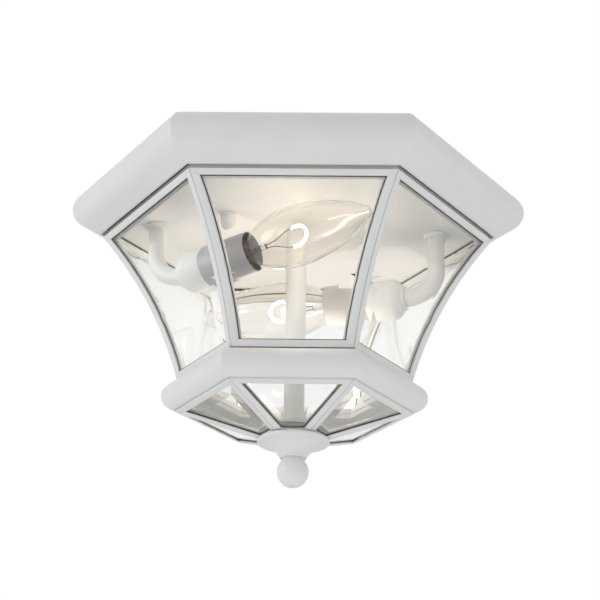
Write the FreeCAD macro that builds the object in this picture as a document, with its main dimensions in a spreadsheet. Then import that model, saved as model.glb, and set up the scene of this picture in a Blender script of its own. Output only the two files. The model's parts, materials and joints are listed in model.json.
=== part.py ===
import FreeCAD, Part

import math
import os
from types import SimpleNamespace

import Sketcher

# Outdoor ceiling light with two bulbs in a hexagonal glass cage, in millimetres.
# The origin is the centre of the canopy's rim, on the ceiling. +Z points up into
# the ceiling, and every drop is measured down from it. X runs through two corners
# of the hexagon, and the flat side at -Y is the front.

SIZES = {
    # Hexagonal canopy, a stamped pan with a rounded edge
    "canopy_corner_radius": 133.5,
    "canopy_edge_radius": 12.95,
    "canopy_edge_drop": 11.65,
    "canopy_slope_angle": 32,
    "canopy_roll_angle": 45,
    "canopy_lip_depth": 4.1,
    "canopy_wall": 1.5,
    "canopy_rim_width": 2,
    "plate_drop": 23.5,
    # Upper cage of six bent panels
    "cage_corner_radius": 114.6,
    "cage_height": 88.6,
    "foot_corner_radius": 67.6,
    "flare_radius": 248.5,
    "frame_depth": 4.4,
    "frame_side_bar": 3.8,
    "frame_top_bar": 2.9,
    "frame_foot_bar": 4,
    "frame_gap": 0.4,
    "glass_thickness": 3,
    "glass_grip": 2,
    "glass_clearance": 0.1,
    # Ring that ties the frames together at the top
    "top_ring_height": 4.4,
    "top_ring_wall": 2,
    "top_ring_inset": 2.2,
    "top_ring_gap": 1.5,
    # Half-round moulding between the two cages
    "moulding_step": 1.2,
    "moulding_height": 16.7,
    "moulding_bulge": 6,
    "moulding_lip": 1.1,
    "moulding_wall": 1.5,
    "moulding_gap": 0.5,
    "ledge_depth": 4.5,
    "ledge_inset": 0.4,
    # Lower cage of six flat panels
    "lower_proud": 1,
    "lower_fall": 16.4,
    "lower_inner_apothem": 14.5,
    "lower_side_bar": 3.3,
    "lower_outer_bar": 3.6,
    "lower_inner_bar": 3.4,
    # Hub, cap and finial under the lower cage
    "hub_radius": 19,
    "hub_rise": 8.7,
    "hub_thickness": 2,
    "hub_boss_radius": 11,
    "hub_boss_height": 7.4,
    "cap_lap": 0.5,
    "cap_height": 11.3,
    "cap_rim_radius": 20.6,
    "cap_rim_height": 2.4,
    "cap_rim_bulge": 0.5,
    "cap_wall": 1.6,
    "cap_neck_radius": 7.3,
    "cap_sweep_radius": 16,
    "finial_radius": 9,
    "finial_washer_thickness": 1,
    "finial_washer_radius": 6,
    "finial_thread_depth": 7.4,
    # Threaded rod and the stem tube around it
    "rod_radius": 3.175,
    "rod_top_drop": 13.5,
    "stem_radius": 5.9,
    "stem_wall": 0.9,
    "rod_washer_radius": 8,
    "rod_washer_thickness": 1.2,
    "rod_nut_flats": 11.1,
    "rod_nut_height": 4.8,
    # Strap and studs that hold the canopy to the ceiling box
    "strap_length": 104,
    "strap_width": 16,
    "strap_thickness": 2.4,
    "strap_hole_radius": 5.2,
    "stud_radius": 2.08,
    "stud_reach": 44.45,
    "stud_turn": 30,
    "stud_length": 30.4,
    "stud_nut_flats": 8.7,
    "stud_nut_height": 3,
    "box_hole_reach": 34.925,
    "box_hole_radius": 2.5,
    "ground_screw_reach": 15,
    "ground_screw_radius": 2,
    "ground_head_flats": 8,
    "ground_head_height": 3.2,
    "ball_nut_radius": 4.1,
    "ball_nut_height": 8.6,
    "ball_nut_depth": 6.6,
    "nut_washer_radius": 4.8,
    "nut_washer_thickness": 0.9,
    # Bent arms that carry the sockets
    "arm_inset": 16.866,
    "arm_turn": 3.9,
    "arm_radius": 5,
    "arm_wall": 1,
    "arm_rise": 6.5,
    "arm_drop": 38.2,
    "arm_bend_radius": 17,
    "arm_length": 26,
    "left_arm_heading": -28,
    "left_arm_tilt": 8.5,
    "right_arm_heading": 165,
    "right_arm_tilt": -1.5,
    "collar_radius": 7.3,
    "collar_height": 1.7,
    "collar_step_radius": 6.4,
    "collar_step_height": 1.3,
    "arm_nut_flats": 13,
    "arm_nut_height": 4,
    "lead_radius": 1.6,
    # Candelabra sockets, placed along the axis of each arm's end
    "cup_start": 18.4,
    "cup_length": 17.6,
    "cup_neck_length": 1.6,
    "cup_radius": 12.2,
    "cup_round": 6.6,
    "cup_wall": 1,
    "cup_floor": 3,
    "sleeve_radius": 11.9,
    "sleeve_wall": 1,
    "sleeve_length": 28.5,
    "insulator_neck_radius": 6,
    "insulator_neck_length": 5,
    "insulator_floor": 8,
    "insulator_recess": 6,
    "socket_bore_radius": 7.2,
    "socket_shell_start": 3.5,
    "socket_shell_length": 15,
    "socket_contact_radius": 2.6,
    "socket_contact_height": 1.4,
    # Candelabra bulbs
    "bulb_room": 14.6,
    "bulb_radius": 17.45,
    "bulb_wide_at": 52.5,
    "bulb_tip_radius": 4,
    "bulb_tip_angle": 33.5,
    "bulb_wall": 0.8,
    "bulb_neck_radius": 5.4,
    "bulb_neck_start": 14,
    "bulb_neck_end": 19.5,
    "base_radius": 5.9,
    "base_wall": 0.3,
    "base_start": 3.4,
    "base_length": 15.6,
    "bulb_contact_radius": 2,
    "bulb_contact_height": 1,
    "bulb_insulator_radius": 5,
    "bulb_insulator_plug": 3.4,
    "mount_radius": 1.7,
    "mount_length": 19,
    "mount_taper": 8,
    "wire_spread": 6.2,
    "wire_foot": 1,
    "wire_length": 20,
    "filament_radius": 0.3,
    # Clearances and the overrun of every cutting tool
    "fit_gap": 0.1,
    "slide_gap": 0.4,
    "overrun": 2,
}

HEXAGON = 6
SIXTH = 360 / HEXAGON
APOTHEM_SHARE = math.cos(math.radians(SIXTH / 2))
HALF_SIDE_SHARE = math.tan(math.radians(SIXTH / 2))
HALF_SHARE = 0.5
DIRECTION = {"x": FreeCAD.Vector(1, 0, 0), "y": FreeCAD.Vector(0, 1, 0), "z": FreeCAD.Vector(0, 0, 1)}


class Size:
    """A value together with the formula that binds it to the sheet."""

    def __init__(self, value, text):
        self.value = value
        self.text = text

    def __add__(self, other):
        other = as_size(other)
        return Size(self.value + other.value, f"({self.text} + {other.text})")

    def __sub__(self, other):
        other = as_size(other)
        return Size(self.value - other.value, f"({self.text} - {other.text})")

    def __mul__(self, other):
        other = as_size(other)
        return Size(self.value * other.value, f"({self.text} * {other.text})")

    def __truediv__(self, other):
        other = as_size(other)
        return Size(self.value / other.value, f"({self.text} / {other.text})")

    def __neg__(self):
        return Size(-self.value, f"(0 - {self.text})")


def as_size(value):
    """A plain number, such as a share, as a Size."""
    return value if isinstance(value, Size) else Size(float(value), repr(float(value)))


NOUGHT = as_size(0)
WHOLE = as_size(1)


def root(size):
    return Size(math.sqrt(size.value), f"sqrt({size.text})")


def sine(angle):
    return Size(math.sin(math.radians(angle.value)), f"sin({angle.text})")


def cosine(angle):
    return Size(math.cos(math.radians(angle.value)), f"cos({angle.text})")


def other_side(radius, side):
    """The second short side of a right triangle whose long side is the radius."""
    return root(radius * radius - side * side)


def arc_radius(chord_half, rise):
    """Radius of the arc that rises so much over half its chord."""
    return (chord_half * chord_half + rise * rise) / (rise * 2)


doc = FreeCAD.newDocument("ceiling_light")


def make_sheet():
    """Write the driving dimensions into the sheet, each under its own alias."""
    sheet = doc.addObject("Spreadsheet::Sheet", "Sizes")
    for row, (name, value) in enumerate(SIZES.items(), start=1):
        sheet.set(f"A{row}", name)
        sheet.set(f"B{row}", str(value))
        sheet.setAlias(f"B{row}", name)
    doc.recompute()
    return SimpleNamespace(**{name: Size(float(sheet.get(name)), f"Sizes.{name}") for name in SIZES})


d = make_sheet()
parts = []


def bind(feature, field, size):
    """Set a number of a feature and tie it to the sheet."""
    size = as_size(size)
    setattr(feature, field, size.value)
    feature.setExpression(field, size.text)


def keep(feature, name, placement=None):
    """Name a finished sub-part and put it where it belongs."""
    feature.Label = name
    if placement is not None:
        feature.Placement = placement
    parts.append(feature)
    return feature


def vector(x, y, z):
    """A place from three sizes."""
    return FreeCAD.Vector(as_size(x).value, as_size(y).value, as_size(z).value)


def turned(angle, place=None, axis="z"):
    """A placement turned about one axis, in degrees."""
    return FreeCAD.Placement(place or FreeCAD.Vector(), FreeCAD.Rotation(DIRECTION[axis], angle))


def arc_centre(start, end, radius, turn):
    """Centre of the short arc between two points, on the left side for a positive turn."""
    middle = (start + end) * HALF_SHARE
    chord = end - start
    left = FreeCAD.Vector(-chord.y, chord.x, 0).normalize()
    reach = math.sqrt(max(radius ** 2 - (chord.Length * HALF_SHARE) ** 2, 0))
    return middle + left * (turn * reach)


def add_segment(sketch, start, end, curve):
    """One line or arc, with the numbers of its first and last point."""
    if curve is None:
        return sketch.addGeometry(Part.LineSegment(start, end)), 1, 2
    radius, turn = curve
    centre = arc_centre(start, end, radius.value, turn)
    angle_start = math.atan2(start.y - centre.y, start.x - centre.x)
    angle_end = math.atan2(end.y - centre.y, end.x - centre.x)
    circle = Part.Circle(centre, DIRECTION["z"], radius.value)
    if turn > 0:
        arc = Part.ArcOfCircle(circle, angle_start, angle_end)
        first, last = 1, 2
    else:
        arc = Part.ArcOfCircle(circle, angle_end, angle_start)
        first, last = 2, 1
    number = sketch.addGeometry(arc)
    index = sketch.addConstraint(Sketcher.Constraint("Radius", number, radius.value))
    sketch.setExpression(f"Constraints[{index}]", radius.text)
    return number, first, last


def fix_point(sketch, number, point, x, y):
    """Tie a point of the sketch to its two sizes, or to an axis where the size is nought."""
    for kind, axis, size in (("DistanceX", -2, x), ("DistanceY", -1, y)):
        if isinstance(size, Size):
            index = sketch.addConstraint(Sketcher.Constraint(kind, -1, 1, number, point, size.value))
            sketch.setExpression(f"Constraints[{index}]", size.text)
        else:
            sketch.addConstraint(Sketcher.Constraint("PointOnObject", number, point, axis))


def draw_outline(sketch, outline, closed=True):
    """Join points by lines, or by an arc where a point carries a radius and a turn."""
    places = [FreeCAD.Vector(as_size(p[0]).value, as_size(p[1]).value, 0) for p in outline]
    segments = []
    for i in range(0 if closed else 1, len(outline)):
        curve = outline[i][2:] or None
        segments.append(add_segment(sketch, places[i - 1], places[i], curve))
    for i, (number, first, last) in enumerate(segments):
        if closed or i > 0:
            before, _, joint = segments[i - 1]
            sketch.addConstraint(Sketcher.Constraint("Coincident", before, joint, number, first))
    starts = outline[-1:] + outline[:-1] if closed else outline[:-1]
    for (number, first, _), point in zip(segments, starts):
        fix_point(sketch, number, first, point[0], point[1])
    if not closed:
        number, _, last = segments[-1]
        fix_point(sketch, number, last, outline[-1][0], outline[-1][1])


def draw_circle(sketch, x, y, radius):
    """A circle about a point given by two sizes."""
    centre = FreeCAD.Vector(as_size(x).value, as_size(y).value, 0)
    number = sketch.addGeometry(Part.Circle(centre, DIRECTION["z"], radius.value))
    index = sketch.addConstraint(Sketcher.Constraint("Radius", number, radius.value))
    sketch.setExpression(f"Constraints[{index}]", radius.text)
    fix_point(sketch, number, 3, x, y)


def new_sketch(body, name, role):
    """A sketch on one of the body's own origin planes."""
    sketch = body.newObject("Sketcher::SketchObject", name)
    plane = next(p for p in body.Origin.OriginFeatures if p.Role == role)
    sketch.AttachmentSupport = [(plane, "")]
    sketch.MapMode = "FlatFace"
    return sketch


def revolved(name, outline):
    """A body turned about its own Z axis, from an outline of radius and height."""
    body = doc.addObject("PartDesign::Body", name)
    sketch = new_sketch(body, f"{name}_outline", "XZ_Plane")
    draw_outline(sketch, outline)
    turn = body.newObject("PartDesign::Revolution", f"{name}_turn")
    turn.Profile = sketch
    turn.ReferenceAxis = (sketch, ["V_Axis"])
    turn.Angle = 360
    return body


def padded(name, role, length, outline=(), circles=(), both_ways=False):
    """A body pushed out of one sketch of an outline and circles."""
    body = doc.addObject("PartDesign::Body", name)
    sketch = new_sketch(body, f"{name}_outline", role)
    if outline:
        draw_outline(sketch, outline)
    for circle in circles:
        draw_circle(sketch, *circle)
    pad = body.newObject("PartDesign::Pad", f"{name}_pad")
    pad.Profile = sketch
    bind(pad, "Length", length)
    if both_ways:
        pad.SideType = "Symmetric"
    return body


def cylinder(name, radius, height, placement):
    """A plain round bar standing on its placement."""
    bar = doc.addObject("Part::Cylinder", name)
    bind(bar, "Radius", radius)
    bind(bar, "Height", height)
    bar.Placement = placement
    return bar


def combined(kind, name, base, tool):
    """A boolean of two shapes: Part::Cut, Part::Common or Part::Fuse."""
    result = doc.addObject(kind, name)
    result.Base = base
    result.Tool = tool
    return result


def gathered(kind, name, shapes):
    """One object of several shapes: Part::MultiFuse joins them, Part::Compound keeps them apart."""
    result = doc.addObject(kind, name)
    if kind == "Part::Compound":
        result.Links = shapes
    else:
        result.Shapes = shapes
        result.Refine = True
    return result


def ring(name, inner, outer, height, placement=None):
    """A flat round ring standing on its placement."""
    body = revolved(name, [(inner, 0), (outer, 0), (outer, height), (inner, height)])
    body.Placement = placement or FreeCAD.Placement()
    return body


def hexagon(flats):
    """The corners of a hexagon with so much across its flats."""
    half = flats * HALF_SHARE
    tip = half / APOTHEM_SHARE
    return [(tip, 0), (tip * HALF_SHARE, half), (-(tip * HALF_SHARE), half),
            (-tip, 0), (-(tip * HALF_SHARE), -half), (tip * HALF_SHARE, -half)]


def hex_nut(name, flats, bore, height, placement):
    """A hexagon nut standing on its placement."""
    nut = padded(name, "XY_Plane", height, hexagon(flats), [(0, 0, bore)])
    nut.Placement = placement
    return nut


def sector(name, inset, reach, height):
    """The sixth of a hexagon about +X, as a prism below the ceiling, inset from both corners."""
    corner = inset / math.cos(math.radians(SIXTH / 2)) / HALF_SIDE_SHARE
    far = reach + d.overrun
    half = (far - corner) * HALF_SIDE_SHARE
    outline = [(corner, 0), (far, -half), (far, half)]
    body = padded(name, "XY_Plane", height, outline)
    body.Placement = FreeCAD.Placement(vector(0, 0, -height), FreeCAD.Rotation())
    return body


def full_sector(name, reach, height):
    """The whole sixth of a hexagon, which meets its neighbours at the corners."""
    far = reach + d.overrun
    half = far * HALF_SIDE_SHARE
    body = padded(name, "XY_Plane", height, [(0, 0), (far, -half), (far, half)])
    body.Placement = FreeCAD.Placement(vector(0, 0, -height), FreeCAD.Rotation())
    return body


def hexagonal(name, outline, reach, depth):
    """A closed hexagonal ring or dish whose sides all have one outline of apothem and height."""
    bar = padded(f"{name}_bar", "XZ_Plane", (reach + d.overrun) * 2, outline, both_ways=True)
    sixth = full_sector(f"{name}_sixth", reach, depth)
    sides = []
    for i in range(HEXAGON):
        side = combined("Part::Common", f"{name}_side_{i + 1}", bar, sixth)
        side.Placement = turned((i - HALF_SHARE) * SIXTH)
        sides.append(side)
    return gathered("Part::MultiFuse", name, sides)


canopy_apothem = d.canopy_corner_radius * APOTHEM_SHARE
cage_apothem = d.cage_corner_radius * APOTHEM_SHARE
foot_apothem = d.foot_corner_radius * APOTHEM_SHARE
plate_top_drop = d.plate_drop - d.canopy_wall
canopy_lip_drop = d.plate_drop + d.canopy_lip_depth
cage_drop = d.plate_drop + d.top_ring_gap + d.top_ring_height
foot_drop = cage_drop + d.cage_height
moulding_drop = foot_drop + d.moulding_step
moulding_end = moulding_drop + d.moulding_height
lower_drop = moulding_end + d.lower_proud
lower_end = lower_drop + d.lower_fall
hub_drop = lower_end - d.hub_rise
cap_drop = lower_end - d.cap_lap
cap_end = cap_drop + d.cap_height
finial_seat_drop = cap_end + d.finial_washer_thickness
elbow_share = (d.plate_drop + d.arm_drop - cage_drop) / d.cage_height
elbow_corner_radius = d.cage_corner_radius - (d.cage_corner_radius - d.foot_corner_radius) * elbow_share
arm_reach = elbow_corner_radius - d.arm_inset
bulb_length = d.cage_corner_radius - d.bulb_room


def stud_place(side, drop):
    """A place on the axis of one mounting stud: side is 1 or -1."""
    turn = math.radians(d.stud_turn.value)
    reach = d.stud_reach.value * side
    return FreeCAD.Vector(reach * math.cos(turn), reach * math.sin(turn), -drop.value)


def arm_place(side, drop):
    """A place on the upright axis of one arm: side is 1 on the right and -1 on the left."""
    turn = math.radians(d.arm_turn.value)
    reach = arm_reach.value * side
    return FreeCAD.Vector(reach * math.cos(turn), reach * math.sin(turn), -drop.value)


def make_canopy():
    """Stamped canopy pan: rounded edge, sloping lip and a flat plate with its holes."""
    edge = d.canopy_edge_radius
    inner = edge - d.canopy_wall
    centre = canopy_apothem - edge
    slope_x = sine(d.canopy_slope_angle)
    slope_z = cosine(d.canopy_slope_angle)
    start = centre + other_side(edge, d.canopy_edge_drop)
    slope_end_drop = d.canopy_edge_drop + edge * slope_z
    fall_share = slope_x / slope_z
    lip = centre + edge * slope_x - (canopy_lip_drop - slope_end_drop) / fall_share
    under = d.canopy_edge_drop + inner * slope_z + (centre + inner * slope_x - lip) * fall_share
    outline = [
        (start, 0),
        (start - d.canopy_rim_width, 0),
        (centre + inner * cosine(d.canopy_roll_angle), inner * sine(d.canopy_roll_angle) - d.canopy_edge_drop),
        (centre + inner, -d.canopy_edge_drop, inner, -1),
        (centre + inner * slope_x, -(d.canopy_edge_drop + inner * slope_z), inner, -1),
        (lip, -under),
        (lip, -plate_top_drop),
        (0, -plate_top_drop),
        (0, -d.plate_drop),
        (lip - d.canopy_wall, -d.plate_drop),
        (lip - d.canopy_wall, -canopy_lip_drop),
        (lip, -canopy_lip_drop),
        (centre + edge * slope_x, -slope_end_drop),
        (canopy_apothem, -d.canopy_edge_drop, edge, 1),
    ]
    outline[0] = outline[0] + (edge, 1)
    pan = hexagonal("canopy_blank", outline, canopy_apothem, canopy_lip_drop)
    depth = d.canopy_wall + d.overrun * 2
    low = d.plate_drop + d.overrun
    holes = [cylinder("rod_hole", d.rod_radius + d.fit_gap, depth, turned(0, vector(0, 0, -low)))]
    for side in (-1, 1):
        holes.append(cylinder("stud_hole", d.stud_radius + d.fit_gap, depth, turned(0, stud_place(side, low))))
        holes.append(cylinder("arm_hole", d.arm_radius + d.fit_gap, depth, turned(0, arm_place(side, low))))
    tool = gathered("Part::Compound", "canopy_holes", holes)
    keep(combined("Part::Cut", "canopy_cut", pan, tool), "canopy_pan")


def make_strap():
    """Mounting strap with its studs, nuts and ground screw."""
    end = d.strap_length * HALF_SHARE
    edge = d.strap_width * HALF_SHARE
    circles = [(0, 0, d.strap_hole_radius)]
    for way in (1, -1):
        circles.append((d.stud_reach * way, 0, d.stud_radius + d.fit_gap))
        circles.append((d.box_hole_reach * way, 0, d.box_hole_radius))
    circles.append((-d.ground_screw_reach, 0, d.ground_screw_radius + d.fit_gap))
    outline = [(end, -edge), (end, edge), (-end, edge), (-end, -edge)]
    strap = padded("strap", "XY_Plane", d.strap_thickness, outline, circles)
    keep(strap, "mounting_bar", turned(d.stud_turn.value, vector(0, 0, -d.strap_thickness)))
    studs = []
    nuts = []
    for side in (-1, 1):
        studs.append(cylinder("stud", d.stud_radius, d.stud_length, turned(0, stud_place(side, d.stud_length))))
        seat = stud_place(side, d.strap_thickness + d.stud_nut_height)
        nuts.append(hex_nut("stud_nut", d.stud_nut_flats, d.stud_radius + d.fit_gap, d.stud_nut_height,
                            turned(0, seat)))
    keep(gathered("Part::Compound", "studs", studs), "mounting_studs")
    keep(gathered("Part::Compound", "stud_nuts", nuts), "stud_nuts")
    head = padded("ground_head", "XY_Plane", d.ground_head_height, hexagon(d.ground_head_flats))
    shank = cylinder("ground_shank", d.ground_screw_radius, d.ground_head_height + d.strap_thickness, turned(0))
    screw = gathered("Part::MultiFuse", "ground_joined", [head, shank])
    turn = math.radians(d.stud_turn.value)
    reach = -d.ground_screw_reach.value
    low = d.strap_thickness + d.ground_head_height
    place = FreeCAD.Vector(reach * math.cos(turn), reach * math.sin(turn), -low.value)
    keep(screw, "ground_screw", turned(0, place))


def make_stem():
    """Threaded rod with its nut and washer, and the stem tube below the plate."""
    rod_end_drop = finial_seat_drop + d.finial_thread_depth - d.slide_gap
    rod = cylinder("rod", d.rod_radius, rod_end_drop - d.rod_top_drop, turned(0, vector(0, 0, -rod_end_drop)))
    keep(rod, "threaded_rod")
    bore = d.rod_radius + d.fit_gap
    washer_top = plate_top_drop - d.rod_washer_thickness
    washer = ring("rod_washer", bore, d.rod_washer_radius, d.rod_washer_thickness)
    keep(washer, "rod_washer", turned(0, vector(0, 0, -plate_top_drop)))
    nut = hex_nut("rod_nut", d.rod_nut_flats, bore, d.rod_nut_height, turned(0, vector(0, 0, -washer_top)))
    keep(nut, "rod_nut")
    tube = ring("stem", d.stem_radius - d.stem_wall, d.stem_radius, hub_drop - d.plate_drop)
    keep(tube, "stem_tube", turned(0, vector(0, 0, -hub_drop)))


def arm_path(sketch, tilt):
    """Centre line of an arm from above the plate, round the elbow, into the socket cup."""
    rise_share = sine(tilt)
    run_share = cosine(tilt)
    back_off = d.arm_bend_radius * run_share / (WHOLE - rise_share)
    outline = [
        (0, d.arm_rise),
        (0, -(d.arm_drop - back_off)),
        (back_off * run_share, -(d.arm_drop - back_off * rise_share), d.arm_bend_radius, 1),
        (d.arm_length * run_share, -(d.arm_drop - d.arm_length * rise_share)),
    ]
    draw_outline(sketch, outline, closed=False)


def swept(name, tilt, radii):
    """A round pipe along an arm's centre line: the first radius adds and the next cuts."""
    body = doc.addObject("PartDesign::Body", name)
    for i, (kind, radius) in enumerate(zip(("Additive", "Subtractive"), radii)):
        spine = new_sketch(body, f"{name}_path_{i}", "XZ_Plane")
        arm_path(spine, tilt)
        section = new_sketch(body, f"{name}_section_{i}", "XY_Plane")
        section.AttachmentOffset = FreeCAD.Placement(vector(0, 0, d.arm_rise), FreeCAD.Rotation())
        section.setExpression("AttachmentOffset.Base.z", d.arm_rise.text)
        draw_circle(section, 0, 0, radius)
        pipe = body.newObject(f"PartDesign::{kind}Pipe", f"{name}_pipe_{i}")
        pipe.Profile = section
        pipe.Spine = spine
    return body


ARMS = (("left", -1, d.left_arm_heading, d.left_arm_tilt), ("right", 1, d.right_arm_heading, d.right_arm_tilt))


def arm_placement(side, heading):
    """The frame of one arm: its origin is where the arm's axis meets the underside of the plate."""
    return turned(heading.value, arm_place(side, d.plate_drop))


def socket_placement(side, heading, tilt):
    """The frame of one socket: its Z axis runs out of the mouth, from the corner of the elbow."""
    elbow = turned(90 - tilt.value, vector(0, 0, -d.arm_drop), "y")
    return arm_placement(side, heading).multiply(elbow)


def make_arms():
    """Bent arms with their collars and nuts, and the wires inside."""
    collars = []
    nuts = []
    leads = []
    bore = d.arm_radius + d.fit_gap
    for name, side, heading, tilt in ARMS:
        arm = swept(f"arm_{name}_tube", tilt, (d.arm_radius, d.arm_radius - d.arm_wall))
        keep(arm, f"arm_{name}", arm_placement(side, heading))
        step_low = -(d.collar_height + d.collar_step_height)
        collar = revolved(f"collar_{name}", [
            (bore, 0), (d.collar_radius, 0), (d.collar_radius, -d.collar_height),
            (d.collar_step_radius, -d.collar_height), (d.collar_step_radius, step_low), (bore, step_low)])
        collar.Placement = turned(0, arm_place(side, d.plate_drop))
        collars.append(collar)
        nuts.append(hex_nut(f"plate_nut_{name}", d.arm_nut_flats, bore, d.arm_nut_height,
                            turned(0, arm_place(side, plate_top_drop))))
        inside = socket_placement(side, heading, tilt)
        floor = turned(0, vector(0, 0, d.cup_start + d.cup_floor))
        nuts.append(hex_nut(f"cup_nut_{name}", d.arm_nut_flats, bore, d.arm_nut_height, inside.multiply(floor)))
        lead = swept(f"lead_{name}", tilt, (d.lead_radius,))
        lead.Placement = arm_placement(side, heading)
        leads.append(lead)
    keep(gathered("Part::Compound", "collars", collars), "arm_collars")
    keep(gathered("Part::Compound", "nuts", nuts), "arm_nuts")
    keep(gathered("Part::Compound", "leads", leads), "wire_leads")


mouth = d.cup_start + d.cup_length + d.sleeve_length
insulator_start = d.arm_length + d.insulator_neck_length
bore_floor = insulator_start + d.insulator_floor
bulb_foot = bore_floor + d.socket_contact_height + d.fit_gap


def make_socket(name, side, heading, tilt):
    """One socket: cup, sleeve, insulator, threaded shell and centre contact."""
    place = socket_placement(side, heading, tilt)
    bore = d.arm_radius + d.fit_gap
    cup_end = d.cup_start + d.cup_length
    neck_end = d.cup_start + d.cup_neck_length
    floor = d.cup_start + d.cup_floor
    inner = d.cup_radius - d.cup_wall
    inner_round = d.cup_round - d.cup_wall
    cup = revolved(f"cup_{name}", [
        (bore, d.cup_start), (d.collar_radius, d.cup_start), (d.collar_radius, neck_end),
        (d.cup_radius, neck_end + d.cup_round, d.cup_round, 1), (d.cup_radius, cup_end),
        (inner, cup_end), (inner, floor + inner_round * HALF_SHARE),
        (inner - inner_round * HALF_SHARE, floor), (bore, floor)])
    keep(cup, f"socket_cup_{name}", place)
    sleeve = ring(f"sleeve_{name}", d.sleeve_radius - d.sleeve_wall, d.sleeve_radius, d.sleeve_length)
    keep(sleeve, f"socket_sleeve_{name}", place.multiply(turned(0, vector(0, 0, cup_end))))
    body_radius = d.sleeve_radius - d.sleeve_wall - d.fit_gap
    insulator = revolved(f"insulator_{name}", [
        (0, d.arm_length), (d.insulator_neck_radius, d.arm_length),
        (d.insulator_neck_radius, insulator_start), (body_radius, insulator_start),
        (body_radius, mouth - d.insulator_recess), (d.socket_bore_radius, mouth - d.insulator_recess),
        (d.socket_bore_radius, bore_floor), (0, bore_floor)])
    keep(insulator, f"socket_insulator_{name}", place)
    shell_outer = d.socket_bore_radius - d.fit_gap
    shell = ring(f"shell_{name}", d.base_radius + d.fit_gap, shell_outer, d.socket_shell_length)
    shell_start = bore_floor + d.socket_shell_start
    keep(shell, f"socket_shell_{name}", place.multiply(turned(0, vector(0, 0, shell_start))))
    return cylinder(f"contact_{name}", d.socket_contact_radius, d.socket_contact_height,
                    place.multiply(turned(0, vector(0, 0, bore_floor))))


def make_bulb(name, place):
    """One bulb: glass, screw base, insulator, contact, glass mount and filament."""
    wide = d.bulb_wide_at
    tip_centre = bulb_length - d.bulb_tip_radius
    tip_r = d.bulb_tip_radius * cosine(d.bulb_tip_angle)
    tip_s = tip_centre + d.bulb_tip_radius * sine(d.bulb_tip_angle)
    shoulder = arc_radius(wide - d.bulb_neck_end, d.bulb_radius - d.bulb_neck_radius)
    taper = arc_radius(tip_s - wide, d.bulb_radius - tip_r)
    wall = d.bulb_wall
    tip_inner = d.bulb_tip_radius - wall
    tip_inner_r = tip_inner * cosine(d.bulb_tip_angle)
    tip_inner_s = tip_centre + tip_inner * sine(d.bulb_tip_angle)
    taper_inner = arc_radius(tip_inner_s - wide, d.bulb_radius - wall - tip_inner_r)
    glass = revolved(f"glass_{name}", [
        (d.bulb_neck_radius - wall, d.bulb_neck_start),
        (d.bulb_neck_radius, d.bulb_neck_start),
        (d.bulb_neck_radius, d.bulb_neck_end),
        (d.bulb_radius, wide, shoulder, 1),
        (tip_r, tip_s, taper, 1),
        (0, bulb_length, d.bulb_tip_radius, 1),
        (0, bulb_length - wall),
        (tip_inner_r, tip_inner_s, tip_inner, -1),
        (d.bulb_radius - wall, wide, taper_inner, -1),
        (d.bulb_neck_radius - wall, d.bulb_neck_end, shoulder, -1)])
    keep(glass, f"bulb_glass_{name}", place)
    base = ring(f"base_{name}", d.base_radius - d.base_wall, d.base_radius, d.base_length)
    keep(base, f"bulb_base_{name}", place.multiply(turned(0, vector(0, 0, d.base_start))))
    seat = d.base_radius - d.base_wall - d.fit_gap
    plug_end = d.base_start + d.bulb_insulator_plug
    insulator = revolved(f"bulb_insulator_body_{name}", [
        (0, d.bulb_contact_height), (d.bulb_contact_radius, d.bulb_contact_height),
        (d.bulb_insulator_radius, d.base_start), (seat, d.base_start), (seat, plug_end), (0, plug_end)])
    keep(insulator, f"bulb_insulator_{name}", place)
    keep(cylinder(f"bulb_contact_body_{name}", d.bulb_contact_radius, d.bulb_contact_height, place),
         f"bulb_contact_{name}")
    mount_start = d.bulb_neck_start
    mount_seat = d.bulb_neck_radius - wall - d.fit_gap
    mount_end = mount_start + d.mount_length
    mount = revolved(f"mount_{name}", [
        (0, mount_start), (mount_seat, mount_start), (mount_seat, mount_start + d.bulb_wall),
        (d.mount_radius, mount_start + d.mount_taper), (d.mount_radius, mount_end), (0, mount_end)])
    keep(mount, f"bulb_mount_{name}", place)
    make_filament(name, place, mount_end)


def make_filament(name, place, foot):
    """Two support wires out of the glass mount and the filament's bow between their tips."""
    body = doc.addObject("PartDesign::Body", f"filament_{name}")
    spine = new_sketch(body, f"filament_path_{name}", "XZ_Plane")
    top = foot + d.wire_length
    middle = foot + d.wire_length * HALF_SHARE
    waist = (d.wire_foot + d.wire_spread) * HALF_SHARE
    sway = arc_radius(d.wire_length * HALF_SHARE, waist - d.wire_foot)
    draw_outline(spine, [
        (-d.wire_foot, foot), (-waist, middle, sway, 1), (-d.wire_spread, top, sway, -1),
        (0, top + d.wire_spread, d.wire_spread, -1), (d.wire_spread, top, d.wire_spread, -1),
        (waist, middle, sway, -1), (d.wire_foot, foot, sway, 1)], closed=False)
    section = new_sketch(body, f"filament_section_{name}", "XY_Plane")
    section.AttachmentOffset = FreeCAD.Placement(vector(0, 0, foot), FreeCAD.Rotation())
    section.setExpression("AttachmentOffset.Base.z", foot.text)
    draw_circle(section, -d.wire_foot, 0, d.filament_radius)
    pipe = body.newObject("PartDesign::AdditivePipe", f"filament_pipe_{name}")
    pipe.Profile = section
    pipe.Spine = spine
    keep(body, f"bulb_filament_{name}", place)


def make_lights():
    """Both sockets with their bulbs."""
    contacts = []
    for name, side, heading, tilt in ARMS:
        contacts.append(make_socket(name, side, heading, tilt))
        foot = turned(0, vector(0, 0, bulb_foot))
        make_bulb(name, socket_placement(side, heading, tilt).multiply(foot))
    keep(gathered("Part::Compound", "contacts", contacts), "socket_contacts")


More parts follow.
